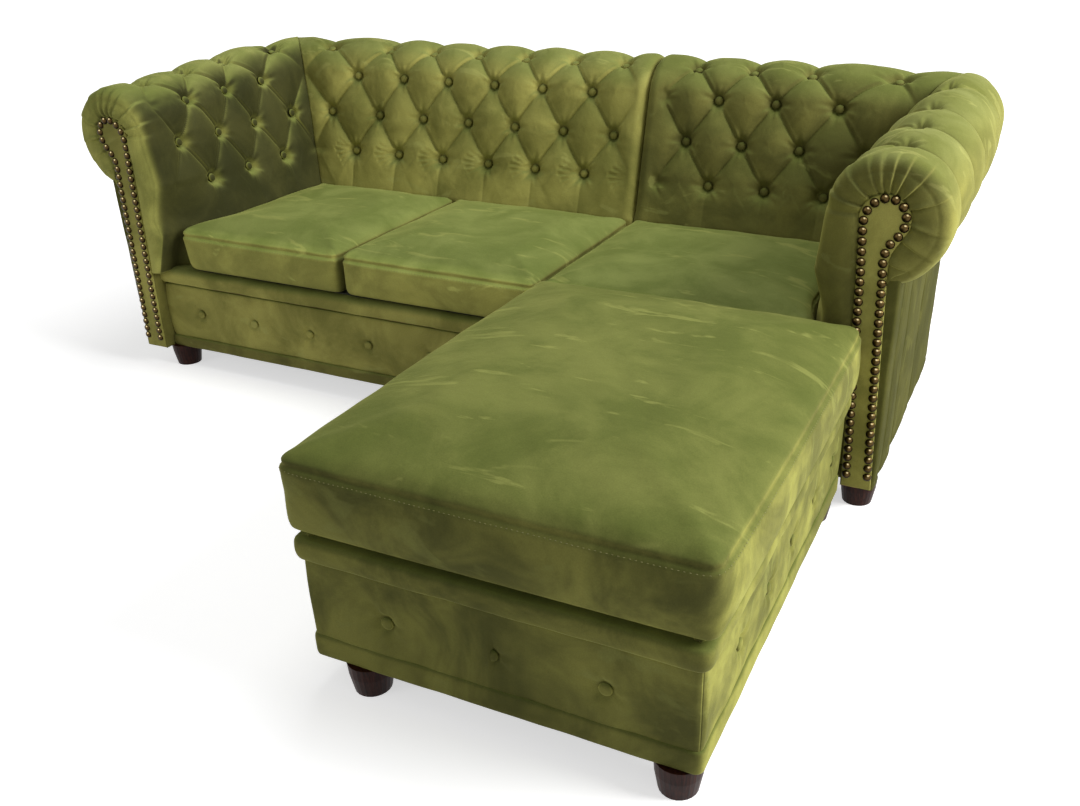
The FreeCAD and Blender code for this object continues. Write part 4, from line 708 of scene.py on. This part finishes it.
for side in ("left", "right"):
    nails = bmesh.new()
    for x, z in smooth_line(NAIL_LINE, NAIL_PITCH):
        centre = np.array((x, FACING_FRONT + NAIL_SUNK, z))
        if side == "right":
            centre = mirrored(centre)
        place = Matrix.Translation(Vector(in_frame(centre)))
        flat = Matrix.Diagonal((1, NAIL_RISE / NAIL_RADIUS, 1, 1)) @ Matrix.Rotation(math.pi / 2, 4, "X")
        bmesh.ops.create_uvsphere(nails, u_segments=12, v_segments=6, radius=NAIL_RADIUS / 1000,
                                  matrix=place @ flat)
    piece(side + "_arm_nails", nails, "sofa", None, brass)


# Arm covers: the velvet of an arm's outer side, a narrow wadded strip behind the front edge and
# a flat panel stretched over the frame, tacked below the roll and under the rail.

def ripples(one, other, size, seed=0.0):
    """Small unevenness of stretched velvet, in millimetres, for two distances along it."""
    return size * (0.5 * np.sin(one / 41 + other / 67 + seed)
                   + 0.3 * np.sin(one / 23 - other / 31 + 2 * seed)
                   + 0.25 * np.sin(one / 13 + other / 17 + 3 * seed + 1))


def backed(made, thickness):
    """Velvet with its wadding behind it."""
    wall = made.modifiers.new("thickness", "SOLIDIFY")
    wall.thickness = thickness / 1000
    wall.offset = -1
    return made


COVER_BOTTOM, STRIP_END, STRIP_TOP, REAR, REAR_TOP = 57.2, 26, 492, 690, 538
COVER_COLUMNS, COVER_ROWS = 190, 90
# From above: the fold over the front, the padded strip, the groove and the start of the panel.
ARM_COVER_LINE = [(30, -30.4), (12, -30.4), (4, -30.2), (1.2, -29), (-0.4, -26), (-1.5, -16), (-1.8, 0),
                  (-1.2, 12), (0.4, 21), (2.5, 25), (7, 27.5), (3.6, 29.5), (2.8, 33), (2.6, 46), (2.6, 49),
                  (4.2, 51), (2.6, 53), (2.6, 56), (2.6, 84), (4, 86), (2.6, 88), (2.6, 92)]
COVER_TUCKS, COVER_HEM = (170, 400), 16

for side in ("left", "right"):
    fine = smooth_line(ARM_COVER_LINE, 2.2)
    rest = np.stack((np.full(COVER_COLUMNS, 2.6), np.linspace(95, REAR - 4, COVER_COLUMNS)), axis=-1)
    turn = np.array([(2.9, REAR - 1.6), (4.2, REAR - 0.4), (8, REAR), (20, REAR)])
    line = np.vstack((fine, rest, turn))
    share = np.linspace(0, 1, COVER_ROWS)[:, None]
    # The top edge is tucked under the roll, which rises to the back and overhangs the strip.
    behind = np.clip((line[:, 1] - STRIP_END) / (REAR - STRIP_END), 0, 1)
    top = STRIP_TOP + 2 + (REAR_TOP - STRIP_TOP) * behind
    top = top + 8 + 24 * ease((6 - line[:, 1]) / 32)
    z = COVER_BOTTOM + share * (top[None, :] - COVER_BOTTOM)
    y = np.broadcast_to(line[None, :, 1], z.shape)
    flat = ease((line[None, :, 1] - 20) / 60)
    x = line[None, :, 0] + ripples(y, z, 1.1, 0.7) * flat + ripples(z, 0 * z, 0.9) * (1 - flat)
    # Two long tucks take up the slack, and the velvet fills between them.
    between = np.interp(y, (20, *COVER_TUCKS, REAR), (0, 1, 2, 3))
    filled = np.abs(np.sin(math.pi * between)) ** 0.6
    x = x - (4 * filled - 2.5 * np.exp(-((between + 0.5) % 1 - 0.5) ** 2 / 0.0004)) * flat
    hem = 2.0 * np.exp(-((z - COVER_BOTTOM - COVER_HEM) / 2.6) ** 2)
    x = x + hem * (y > -29) + 1.6 * ease((COVER_BOTTOM + 5 - z) / 5) * (y > -29)
    points = np.stack((x, y, z), axis=-1)
    if side == "right":
        points = mirrored(points)
    shape = grid(points, (SOFA_WIDTH / 2, 300, 300))
    made = piece(side + "_arm_cover_velvet", shape, "sofa", [side + "_arm_cover"], shaded_velvet)
    backed(made, 3)


# Post covers: the same velvet folded round the inner side of each arm's front post, between the
# facing and the seat's front.

for side in ("left", "right"):
    z = np.linspace(COVER_BOTTOM, PAD_BOTTOM + 4, 60)[:, None] + np.zeros((1, 14))
    y = np.linspace(-31.5, 6, 14)[None, :] + 0 * z
    x = 66.4 + 19.6 * np.clip(z - LEG_FOOT, 0, None) / LEG_RISE + ripples(z, y, 0.8, 1.4)
    points = np.stack((x, y, z), axis=-1)
    if side == "right":
        points = mirrored(points)
    middle = (40, 0, 160) if side == "left" else (SOFA_WIDTH - 40, 0, 160)
    backed(piece(side + "_arm_post_velvet", grid(points, middle), "sofa", None), 1)


# Back covers: plain velvet stretched down the rear of each unit and tacked under its rail.

BACK_LINE = {"left": (28.3, 1186), "right": (1188, 1931.7)}
BACK_TOP, BACK_HEM = 549, 18

for side, (low, high) in BACK_LINE.items():
    x = np.linspace(low, high, 150)[None, :] + np.zeros((70, 1))
    z = np.linspace(COVER_BOTTOM, BACK_TOP, 70)[:, None] + 0 * x
    edge = np.minimum(x - low, high - x)
    y = REAR - 0.4 + ripples(x, z, 1.2, 0.4) * ease(edge / 30) - 4 * np.exp(-edge / 4)
    y = y - 1.8 * np.exp(-((z - COVER_BOTTOM - BACK_HEM) / 3) ** 2)
    shape = grid(np.stack((x, y, z), axis=-1), (SOFA_WIDTH / 2, 0, 300))
    made = piece(side + "_back_cover_velvet", shape, "sofa", [side + "_back_cover"], light_velvet)
    backed(made, 3)


# Unit fronts: a wadded velvet panel with shallow buttons, a plain band along its foot and a
# fat rounded lip along its top, on which the seat cushions' front edge rests.

def dimpled(one, other, spots, deep=8.5):
    """Depth of the pits that buttons draw into a panel, with the folds that run from them."""
    depth = np.zeros_like(one)
    for number, (a, b) in enumerate(spots):
        across, up = one - a, other - b
        away = np.hypot(across, up)
        turn = np.arctan2(up, across)
        depth = np.maximum(depth, deep / (1 + (np.maximum(away - 10, 0) / 9) ** 2))
        folds = np.cos(6 * turn + 2.1 * number) + 0.7 * np.cos(9 * turn - number)
        depth = depth + 0.9 * folds * np.exp(-((away - 26) / 16) ** 2)
    return depth


FRONT_IN = 65.3
FRONT_BUTTON_FIRST, FRONT_BUTTON_PITCH, FRONT_BUTTON_HEIGHT = 180, 177, 158
FRONT_SPOTS = [FRONT_BUTTON_FIRST + FRONT_BUTTON_PITCH * k for k in range(10)]
UNIT_FRONT = {"left": (FRONT_IN, UNIT_JOINT - 1), "right": (UNIT_JOINT + 1, SOFA_WIDTH - FRONT_IN)}
PANEL_BOTTOM, PANEL_TOP = 84, 233
# Distance behind the rail's front, and height.
LIP_LINE = [(60, 276), (16, 278), (4, 276.6), (-4, 272), (-8.6, 265), (-10, 256.5), (-9, 247),
            (-5, 239.5), (3, 236), (12, 235)]
BAND_LINE = [(12, 56.9), (2, 56.9), (-1.2, 58), (-2.6, 62), (-3.0, 70), (-2.8, 78), (-1.6, 83.6),
             (0.6, 86), (4, 86.6)]


def swept_front(line, span, size, seed):
    """A profile of distance and height carried along a unit's front, with soft waves."""
    x = np.linspace(*span, int((span[1] - span[0]) / 7))
    line = np.array(line)
    wave = ripples(x, 0 * x, size, seed)[:, None]
    near = np.minimum(x - span[0], span[1] - x)[:, None]
    tuck = 3 * np.exp(-near / 2.5)
    y = line[None, :, 0] + wave * ease((30 - line[None, :, 0]) / 30) + tuck
    z = line[None, :, 1] + 0.6 * np.roll(wave, 3) * ease((line[None, :, 1] - 231) / 20)
    return np.stack((x[:, None] + 0 * y, y, z), axis=-1)


for side, span in UNIT_FRONT.items():
    x = np.linspace(*span, int((span[1] - span[0]) / 4))[None, :] + np.zeros((48, 1))
    z = np.linspace(PANEL_BOTTOM, PANEL_TOP, 48)[:, None] + 0 * x
    spots = [(place, FRONT_BUTTON_HEIGHT) for place in FRONT_SPOTS if span[0] < place < span[1]]
    near = np.minimum(x - span[0], span[1] - x)
    tall = PANEL_TOP - PANEL_BOTTOM
    pillow = 7.5 * np.sin(math.pi * np.clip(z - PANEL_BOTTOM, 0, tall) / tall) ** 0.45
    y = 6 - pillow + dimpled(x, z, spots) + ripples(x, z, 1.2, 1.1) + 5 * np.exp(-near / 3)
    shape = grid(np.stack((x, y, z), axis=-1), (SOFA_WIDTH / 2, 900, 150))
    unit = side + "_unit"
    backed(piece(side + "_front_panel_velvet", shape, "sofa", [unit + "_front_panel"], light_velvet), 4)
    knobs = bmesh.new()
    for place, height in spots:
        covered_button(knobs, (place, 4.2, height), (0, -1, 0))
    piece(side + "_front_buttons_velvet", knobs, "sofa", [unit + "_front_buttons"], light_velvet)
    lip = swept_front(smooth_line(LIP_LINE, 4), span, 1.5, 0.3)
    shape = grid(lip, (SOFA_WIDTH / 2, 200, 245))
    backed(piece(side + "_front_lip_velvet", shape, "sofa", [unit + "_front_lip"], light_velvet), 4)
    band = swept_front(smooth_line(BAND_LINE, 3), span, 0.8, 2.0)
    shape = grid(band, (SOFA_WIDTH / 2, 200, 70))
    backed(piece(side + "_bottom_band_velvet", shape, "sofa", [unit + "_bottom_band"]), 3)


# Seat cushions and the ottoman's top: boxed velvet cases over foam with a fibre wrap. A row of
# stitches lies under the seam where the crowned top meets the box, and the foam pushes the
# cloth out between the seams.

def evaluated(made):
    """The mesh that an object's modifiers give."""
    graph = bpy.context.evaluated_depsgraph_get()
    return bpy.data.meshes.new_from_object(made.evaluated_get(graph))


def replaced_mesh(made, mesh):
    made.modifiers.clear()
    old = made.data
    made.data = mesh
    bpy.data.meshes.remove(old)


def places_of(mesh):
    """A mesh's vertices in the sofa's millimetres."""
    found = np.empty(len(mesh.vertices) * 3)
    mesh.vertices.foreach_get("co", found)
    return found.reshape(-1, 3) * 1000 + ROOT


def moved_to(mesh, points):
    mesh.vertices.foreach_set("co", in_frame(points).ravel())
    mesh.update()


# The cloth's mesh in metres, and the coarser one of a cushion longer than this.
VOXEL, BROAD_VOXEL, BROAD = 0.0065, 0.0082, 700
# How far the boxing bows out, and how far the foam may push the cloth in all. Then the room
# that this leaves at the rear, at an end that spreads, at another end, in front and above.
BOW, SOFTEST = 8, 14
REAR_ROOM, SPREAD_ROOM, END_ROOM, FRONT_ROOM, TOP_ROOM = 2, 2, 6, 9, 5
CLOTH_STEPS, FOAM_PRESSURE, SEAM_GRIP = 18, 4, 0.7
SEAM_DEPTH, SEAM_PUFF = 3.4, 1.2
STITCH_DROP, STITCH_PITCH, STITCH_SIZE = 6, 8, (3.6, 1.2, 1.0)


def polyester_thread():
    """Twisted sewing thread, paler than the velvet."""
    made, tree, spot = blank_material("polyester_thread")
    # The twist shows as flecks about a millimetre apart.
    twist = add(tree, "TexNoise", {"Scale": 900, "Detail": 1}, {"Vector": spot})
    colour = add(tree, "Mix", {6: linear("#5c592b"), 7: linear("#8f8b4c")}, {0: twist.outputs["Fac"]},
                 data_type="RGBA")
    skin = add(tree, "BsdfPrincipled", {"Roughness": 0.55}, {"Base Color": colour.outputs[2]})
    add(tree, "OutputMaterial", links={"Surface": skin.outputs[0]})
    return made


thread = polyester_thread()


def boxed_cushion(name, node, body, x, y, heights, crown, corners, fill, cloth, flares=(), snug=0):
    """A cushion case over its foam, with a crown above its boxing. The corners are the radii of
    its upright, lower and upper edges, and the seam lies under the upper one. A flare of -1 or
    1 lets its left or right end spread at the front. The bow of ends that press against a
    neighbour is less by the snug share."""
    low, high = np.array((x[0], y[0], heights[0])), np.array((x[1], y[1], heights[1]))
    seam = high[2] - corners[2]
    slack = 2.5    # which the foam fills
    start_low, start_high = low + (slack, slack, 0.5), high - (slack, slack, 0)
    shape = bmesh.new()
    bmesh.ops.create_cube(shape, size=1)
    centre, size = (in_frame(start_low) + in_frame(start_high)) / 2, (start_high - start_low) / 1000
    bmesh.ops.scale(shape, verts=shape.verts, vec=size)
    bmesh.ops.translate(shape, verts=shape.verts, vec=centre)
    upright = [edge for edge in shape.edges if abs(edge.verts[0].co.z - edge.verts[1].co.z) > 0.01]
    bmesh.ops.bevel(shape, geom=upright, offset=corners[0] / 1000, segments=8, profile=0.5,
                    affect="EDGES", material=-1)
    for above, radius in ((False, corners[1]), (True, corners[2])):
        rim = [edge for edge in shape.edges
               if all((vert.co.z > centre[2]) == above for vert in edge.verts)]
        bmesh.ops.bevel(shape, geom=rim, offset=radius / 1000, segments=6, profile=0.5,
                        affect="EDGES", material=-1)
    made = piece(name, shape, body, [node], cloth)
    remesh = made.modifiers.new("even_cloth", "REMESH")
    remesh.mode = "VOXEL"
    remesh.voxel_size = BROAD_VOXEL if y[1] - y[0] > BROAD else VOXEL
    replaced_mesh(made, evaluated(made))
    points = places_of(made.data)
    middle, half = (low + high) / 2, (high - low) / 2
    upper = ease((points[:, 2] - middle[2]) / half[2])
    off = np.clip(np.abs(points[:, :2] - middle[:2]) / half[:2], 0, 1)
    dome = np.prod(1 - off ** 3.2, axis=1) ** 0.65
    # The boxing bows out between the seams.
    level = (points[:, 2] - low[2]) / (seam + 6 - low[2])
    bowed = BOW * np.sin(math.pi * np.clip(level, 0, 1)) ** 0.8
    points[:, 2] += crown * dome * upper
    for axis in (0, 1):
        side = np.clip((np.abs(points[:, axis] - middle[axis]) - half[axis] + 12) / 12, 0, 1)
        along = 1 - np.clip(np.abs(points[:, 1 - axis] - middle[1 - axis]) / half[1 - axis], 0, 1) ** 4
        free = (1 - snug, 1)[axis]
        points[:, axis] += np.sign(points[:, axis] - middle[axis]) * bowed * side * along * free
    points[:, 1] = np.minimum(points[:, 1], high[1] + REAR_ROOM)
    # An end that spreads over an arm's foam leans outwards like the arm.
    leaning = 0.55 + 0.45 * np.clip((points[:, 2] - low[2]) / (high[2] - low[2]), 0, 1)
    for flare in flares:
        near_end = ease(1 - (half[0] - flare * (points[:, 0] - middle[0])) / 180)
        points[:, 0] += flare * FLARE * leaning * near_end * flare_share(points[:, 1])
    moved_to(made.data, points)
    rest = places_of(made.data)
    held = made.vertex_groups.new(name="held")
    seamed = np.abs(rest[:, 2] - seam) < 5
    for index in np.nonzero(seamed | (rest[:, 2] < low[2] + 3))[0].tolist():
        held.add([index], SEAM_GRIP, "REPLACE")
    blow = made.modifiers.new("cloth", "CLOTH")
    blow.settings.use_pressure = True
    blow.settings.uniform_pressure_force = FOAM_PRESSURE
    blow.settings.effector_weights.gravity = 0
    blow.settings.vertex_group_mass = "held"
    blow.settings.quality = 4
    blow.settings.tension_stiffness = 12
    blow.settings.bending_stiffness = 0.6
    for number in range(1, CLOTH_STEPS + 1):
        bpy.context.scene.frame_set(number)
    blown = places_of(evaluated(made))
    shift = (blown - rest) * (1 - 0.5 * snug, 1, 0.4)
    far = np.linalg.norm(shift, axis=1, keepdims=True)
    shift *= np.minimum(1, SOFTEST / np.maximum(far, 1e-9))
    made.modifiers.clear()
    ends = [FLARE + SPREAD_ROOM if flare in flares else END_ROOM for flare in (-1, 1)]
    least = low - (ends[0], FRONT_ROOM, 0)
    most = high + (ends[1], REAR_ROOM, crown + TOP_ROOM)
    moved_to(made.data, np.clip(rest + shift, least, most))
    bpy.context.scene.frame_set(1)
    settled = made.modifiers.new("settled", "SMOOTH")
    settled.factor = 0.5
    settled.iterations = 14
    replaced_mesh(made, evaluated(made))
    finer = made.modifiers.new("finer", "SUBSURF")
    finer.levels = finer.render_levels = 1
    replaced_mesh(made, evaluated(made))
    points = places_of(made.data)
    outer = ease((np.max(np.abs(points[:, :2] - middle[:2]) - half[:2], axis=1) + 40) / 20)
    from_seam = np.abs(points[:, 2] - seam)
    groove = SEAM_DEPTH * np.exp(-(from_seam / 3.2) ** 2)
    groove = outer * (groove - SEAM_PUFF * np.exp(-((from_seam - 8) / 4) ** 2))
    away = points - middle
    away[:, :2] *= np.where(np.abs(away[:, :2]) > half[:2] - 30, 1, 0)
    away[:, 2] = 0
    away /= np.maximum(np.linalg.norm(away, axis=1, keepdims=True), 1)
    wrinkle = ripples(points[:, 0] + 0.4 * points[:, 2], points[:, 1], 1.3, fill * 7)
    points -= away * groove[:, None]
    points[:, 2] += wrinkle * upper_part(points, middle)
    moved_to(made.data, points)
    made.data.polygons.foreach_set("use_smooth", [True] * len(made.data.polygons))
    stitched(made, body, low, high, corners[0], seam)


def stitched(made, body, low, high, radius, seam):
    """A row of lockstitch under a cushion's seam, lying on its cloth."""
    skin = BVHTree.FromPolygons([vert.co for vert in made.data.vertices],
                                [face.vertices[:] for face in made.data.polygons])
    row = bmesh.new()
    inner = [(low[0] + radius, low[1] + radius), (high[0] - radius, low[1] + radius),
             (high[0] - radius, high[1] - radius), (low[0] + radius, high[1] - radius)]
    for start, stop in zip(np.array(inner), np.array(inner[1:] + inner[:1])):
        span = np.linalg.norm(stop - start)
        along = (stop - start) / span
        out = np.array((along[1], -along[0]))
        for travel in np.arange(-radius * 0.4, span + radius * 0.4, STITCH_PITCH):
            source = np.array((*(start + along * travel + out * 120), seam - STITCH_DROP))
            hit, normal = skin.ray_cast(Vector(in_frame(source)), Vector((*-out, 0)), 0.2)[:2]
            if hit is None:
                continue
            tangent = Vector((*along, 0))
            turn = Matrix((tangent, normal.cross(tangent).normalized(), normal)).transposed().to_4x4()
            thick = Matrix.Diagonal((*(size / 2000 for size in STITCH_SIZE), 1))
            bmesh.ops.create_icosphere(row, subdivisions=1, radius=1,
                                       matrix=Matrix.Translation(hit + normal * 0.0002) @ turn @ thick)
    piece(made.name.replace("_velvet", "_stitches"), row, body, None, thread)


def upper_part(points, middle):
    """1 on a cushion's top and 0 on its sides and floor."""
    return ease((points[:, 2] - middle[2] - 20) / 40)


SEATS = {"left": ((191.5, 656.5), (-1,)), "middle": ((659.5, 1185.5), ()),
         "right": ((1188.5, 1768.5), (1,))}
for side, (span, flares) in SEATS.items():
    boxed_cushion(side + "_seat_cushion_velvet", "seat_cushion_" + side, side + "_cushion", span,
                  (-8, 544.4), (281.5, 392), 17, (16, 11, 19), 0.7, seat_velvet, flares, 0.9)
boxed_cushion("ottoman_cushion_velvet", "ottoman_cushion", "ottoman_top", (1216, 1912), (-906, -50),
              (287.5, 422), 32, (21, 11, 17), 0.75, ottoman_velvet)


# Ottoman box: velvet panels over wadding on four rails, with a band round the foot and a
# rounded lip round the top. The corners are turned over the rails in one piece.

OTTOMAN_LOW, OTTOMAN_HIGH = (1238, -896), (1892, -53)
OTTOMAN_MIDDLE = (1566.25, -473, 170)


def round_the_box(reach, radius, spacing):
    """Places and outward directions along a rounded rectangle round the box, and the distance
    travelled, starting in the middle of its front."""
    x0, y0 = OTTOMAN_LOW[0] - reach, OTTOMAN_LOW[1] - reach
    x1, y1 = OTTOMAN_HIGH[0] + reach, OTTOMAN_HIGH[1] + reach
    places, ways = [], []
    corners = [(x1 - radius, y0 + radius, -90), (x1 - radius, y1 - radius, 0),
               (x0 + radius, y1 - radius, 90), (x0 + radius, y0 + radius, 180)]
    last = np.array(((x0 + x1) / 2, y0))
    for x, y, turn in corners:
        bow = np.radians(turn + np.linspace(0, 90, 9))
        arc = np.stack((x + radius * np.cos(bow), y + radius * np.sin(bow)), axis=-1)
        count = int(np.linalg.norm(arc[0] - last) / spacing)
        share = np.linspace(0, 1, count, endpoint=False)[:, None]
        way = np.array((math.cos(bow[0]), math.sin(bow[0])))
        places += [*(last + share * (arc[0] - last)), *arc]
        ways += [*np.repeat(way[None], count, axis=0), *np.stack((np.cos(bow), np.sin(bow)), axis=-1)]
        last = arc[-1]
    end = np.array(((x0 + x1) / 2, y0))
    count = int(np.linalg.norm(end - last) / spacing)
    share = np.linspace(0, 1, count + 1)[1:, None]
    places += [*(last + share * (end - last))]
    ways += [*np.repeat(np.array(((0.0, -1.0),)), count, axis=0)]
    keep = [0] + [i for i in range(1, len(places)) if np.linalg.norm(places[i] - places[i - 1]) > 1e-6]
    places, ways = np.array(places)[keep], np.array(ways)[keep]
    travel = np.append(0, np.cumsum(np.linalg.norm(np.diff(places, axis=0), axis=1)))
    return places, ways, travel


def ring_of(line, reach, radius, size, seed):
    """A profile of distance and height carried right round the box, with soft waves."""
    places, ways, travel = round_the_box(reach, radius, 7)
    line = np.array(line)
    wave = ripples(travel, 0 * travel, size, seed)
    wave = wave * ease(np.minimum(travel, travel[-1] - travel) / 40)
    out = -line[None, :, 0] + wave[:, None]
    points = np.empty((len(places), len(line), 3))
    points[..., :2] = places[:, None] + ways[:, None] * out[..., None]
    points[..., 2] = line[None, :, 1]
    points[-1] = points[0]
    return points


# Distance inside the line that each is carried along, and height.
OTTOMAN_LIP = [(30, 281.6), (10, 281.4), (2.5, 279.5), (-1.4, 274.5), (-2.6, 266), (-2.4, 256),
               (0, 248), (4, 243), (10, 240.6)]
OTTOMAN_BAND = [(12, 56.9), (4, 56.9), (0.8, 58.4), (-0.8, 63), (-1.2, 76), (-1, 90), (0.6, 96.2),
                (3, 98.6), (7, 99)]
shape = grid(ring_of(smooth_line(OTTOMAN_LIP, 3.6), 7.5, 18, 1.3, 0.9), OTTOMAN_MIDDLE)
backed(piece("ottoman_lip_velvet", shape, "ottoman", ["ottoman_lip"], ottoman_velvet), 4)
shape = grid(ring_of(smooth_line(OTTOMAN_BAND, 3.2), 1.5, 14, 0.8, 2.4), OTTOMAN_MIDDLE)
backed(piece("ottoman_bottom_band_velvet", shape, "ottoman", ["ottoman_bottom_band"], ottoman_velvet), 3)

OTTOMAN_BUTTONS, WALL_BOTTOM, WALL_TOP = 160, 96, 243
FRONT_ACROSS = (1385.25, 1566.25, 1747.25)
SIDE_ALONG = (-725, -575, -425, -275, -125)
places, ways, travel = round_the_box(0, 12, 4)
spots, facing_ways = [], []
for x in FRONT_ACROSS:
    spots += [(x, OTTOMAN_LOW[1]), (x, OTTOMAN_HIGH[1])]
    facing_ways += [(0, -1, 0), (0, 1, 0)]
for y in SIDE_ALONG:
    spots += [(OTTOMAN_LOW[0], y), (OTTOMAN_HIGH[0], y)]
    facing_ways += [(-1, 0, 0), (1, 0, 0)]
stops = [travel[np.argmin(np.hypot(*(places - spot).T))] for spot in spots]
z = np.linspace(WALL_BOTTOM, WALL_TOP, 44)[:, None] + 0 * travel[None, :]
run = travel[None, :] + 0 * z
depth = dimpled(run, z, [(stop, OTTOMAN_BUTTONS) for stop in stops])
wave = ripples(run, z, 1.3, 1.9) * ease(np.minimum(run, travel[-1] - run) / 40)
bend = np.abs(ways[None, :, 0] * ways[None, :, 1]) * 2
risen = (z - WALL_BOTTOM) / (WALL_TOP - WALL_BOTTOM)
out = -2 + 3.4 * np.sin(math.pi * risen) ** 0.6 * (1 - 0.6 * bend) - depth + wave
skin = np.stack((places[None, :, 0] + ways[None, :, 0] * out,
                 places[None, :, 1] + ways[None, :, 1] * out, z), axis=-1)
corners = [np.argmin(np.hypot(*(places - spot).T))
           for spot in ((OTTOMAN_HIGH[0], OTTOMAN_LOW[1]), OTTOMAN_HIGH,
                        (OTTOMAN_LOW[0], OTTOMAN_HIGH[1]), OTTOMAN_LOW)]
PANELS = {"right": (corners[0], corners[1]), "rear": (corners[1], corners[2]),
          "left": (corners[2], corners[3])}
walls = {side: skin[:, start:stop + 1] for side, (start, stop) in PANELS.items()}
walls["front"] = np.concatenate((skin[:, corners[3]:], skin[:, 1:corners[0] + 1]), axis=1)
for side, wall in walls.items():
    name = "ottoman_panel_" + side
    backed(piece(name + "_velvet", grid(wall, OTTOMAN_MIDDLE), "ottoman", [name], ottoman_velvet), 4)
knobs = bmesh.new()
for (x, y), way in zip(spots, facing_ways):
    covered_button(knobs, (x - 4.4 * way[0], y - 4.4 * way[1], OTTOMAN_BUTTONS), way)
piece("ottoman_buttons_velvet", knobs, "ottoman", ["ottoman_buttons"], ottoman_velvet)


# Feet: turned beech stained to dark mahogany and varnished. Their studs, the joining bolts and
# the seat springs are zinc-plated or blued steel.

def stained_beech():
    """Beech under a dark mahogany stain and satin varnish: close grain shows faintly along it."""
    made, tree, spot = blank_material("stained_varnished_beech")
    # Grain lines are about 1.5 mm apart, drawn at 3 mm to show, and run up the foot.
    along = add(tree, "Mapping", {"Scale": (330, 330, 18)}, {"Vector": spot})
    grain = add(tree, "TexNoise", {"Scale": 1, "Detail": 4, "Distortion": 0.6},
                {"Vector": along.outputs[0]})
    tone = add(tree, "MapRange", {"From Min": 0.35, "From Max": 0.68}, {"Value": grain.outputs["Fac"]})
    colour = add(tree, "Mix", {6: linear("#190805"), 7: linear("#381910")}, {0: tone.outputs[0]},
                 data_type="RGBA")
    bump = add(tree, "Bump", {"Strength": 0.15, "Distance": 0.0005}, {"Height": grain.outputs["Fac"]})
    skin = add(tree, "BsdfPrincipled", {"Roughness": 0.42, "IOR": 1.5, "Specular IOR Level": 0.12},
               {"Base Color": colour.outputs[2], "Normal": bump.outputs[0]})
    add(tree, "OutputMaterial", links={"Surface": skin.outputs[0]})
    return made


def plated_steel():
    """Wire and bolts with a dull bluish zinc coat."""
    made, tree, spot = blank_material("zinc_plated_steel")
    bloom = add(tree, "TexNoise", {"Scale": 90, "Detail": 3}, {"Vector": spot})
    rough = add(tree, "MapRange", {"To Min": 0.28, "To Max": 0.5}, {"Value": bloom.outputs["Fac"]})
    skin = add(tree, "BsdfPrincipled", {"Metallic": 1.0, "Base Color": linear("#9ea3a6")},
               {"Roughness": rough.outputs[0]})
    add(tree, "OutputMaterial", links={"Surface": skin.outputs[0]})
    return made


def painted_on(material, *names):
    """Gives CAD nodes a finish."""
    for name in names:
        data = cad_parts[name].data
        for number in range(max(1, len(data.materials))):
            if len(data.materials) == 0:
                data.materials.append(material)
            data.materials[number] = material


painted_on(stained_beech(), "left_unit_feet", "right_unit_feet", "ottoman_feet")
painted_on(plated_steel(), "left_unit_springs", "right_unit_springs", "unit_joining_bolts",
           "sofa_foot_studs", "ottoman_foot_studs")


# Timber: planed pine rails, arm and back frames and the ottoman's board, left bare because the
# covers hide them.

def planed_pine():
    """Bare planed pine: pale, with warm growth lines about 6 mm apart along each board."""
    made, tree, spot = blank_material("planed_pine")
    along = add(tree, "Mapping", {"Scale": (4, 90, 90)}, {"Vector": spot})
    rings = add(tree, "TexNoise", {"Scale": 1, "Detail": 3, "Distortion": 1.2},
                {"Vector": along.outputs[0]})
    tone = add(tree, "MapRange", {"From Min": 0.38, "From Max": 0.66}, {"Value": rings.outputs["Fac"]})
    colour = add(tree, "Mix", {6: linear("#c9a572"), 7: linear("#a67c4b")}, {0: tone.outputs[0]},
                 data_type="RGBA")
    bump = add(tree, "Bump", {"Strength": 0.2, "Distance": 0.0006}, {"Height": rings.outputs["Fac"]})
    skin = add(tree, "BsdfPrincipled", {"Roughness": 0.62},
               {"Base Color": colour.outputs[2], "Normal": bump.outputs[0]})
    add(tree, "OutputMaterial", links={"Surface": skin.outputs[0]})
    return made


pine = planed_pine()
for side in ("left", "right"):
    painted_on(pine, side + "_unit_front_rail", side + "_unit_rear_rail", side + "_unit_cross_rails",
               side + "_arm_frame", side + "_back_frame")
painted_on(pine, "ottoman_rails", "ottoman_top_board")


# Decks and dust covers: black spun-bonded cloth, padded with felt under the seat cushions.

def spun_cloth(name, dark, light):
    """Thin cloth of bonded fibres with a fine pressed dot every 2 mm: dull, slightly mottled."""
    made, tree, spot = blank_material(name)
    fibre = add(tree, "TexNoise", {"Scale": 260, "Detail": 4, "Roughness": 0.7}, {"Vector": spot})
    dots = add(tree, "TexVoronoi", {"Scale": 500}, {"Vector": spot})
    colour = add(tree, "Mix", {6: linear(dark), 7: linear(light)}, {0: fibre.outputs["Fac"]},
                 data_type="RGBA")
    bump = add(tree, "Bump", {"Strength": 0.35, "Distance": 0.0004}, {"Height": dots.outputs["Distance"]})
    skin = add(tree, "BsdfPrincipled", {"Roughness": 0.9, "Specular IOR Level": 0.2},
               {"Base Color": colour.outputs[2], "Normal": bump.outputs[0]})
    add(tree, "OutputMaterial", links={"Surface": skin.outputs[0]})
    return made


lining = spun_cloth("spun_bonded_lining", "#17181a", "#2a2b2c")
painted_on(lining, "left_unit_dust_cover", "right_unit_dust_cover", "ottoman_dust_cover")
felt = spun_cloth("needled_felt", "#2b2d26", "#45473b")
painted_on(felt, "left_unit_deck", "right_unit_deck", "ottoman_deck")
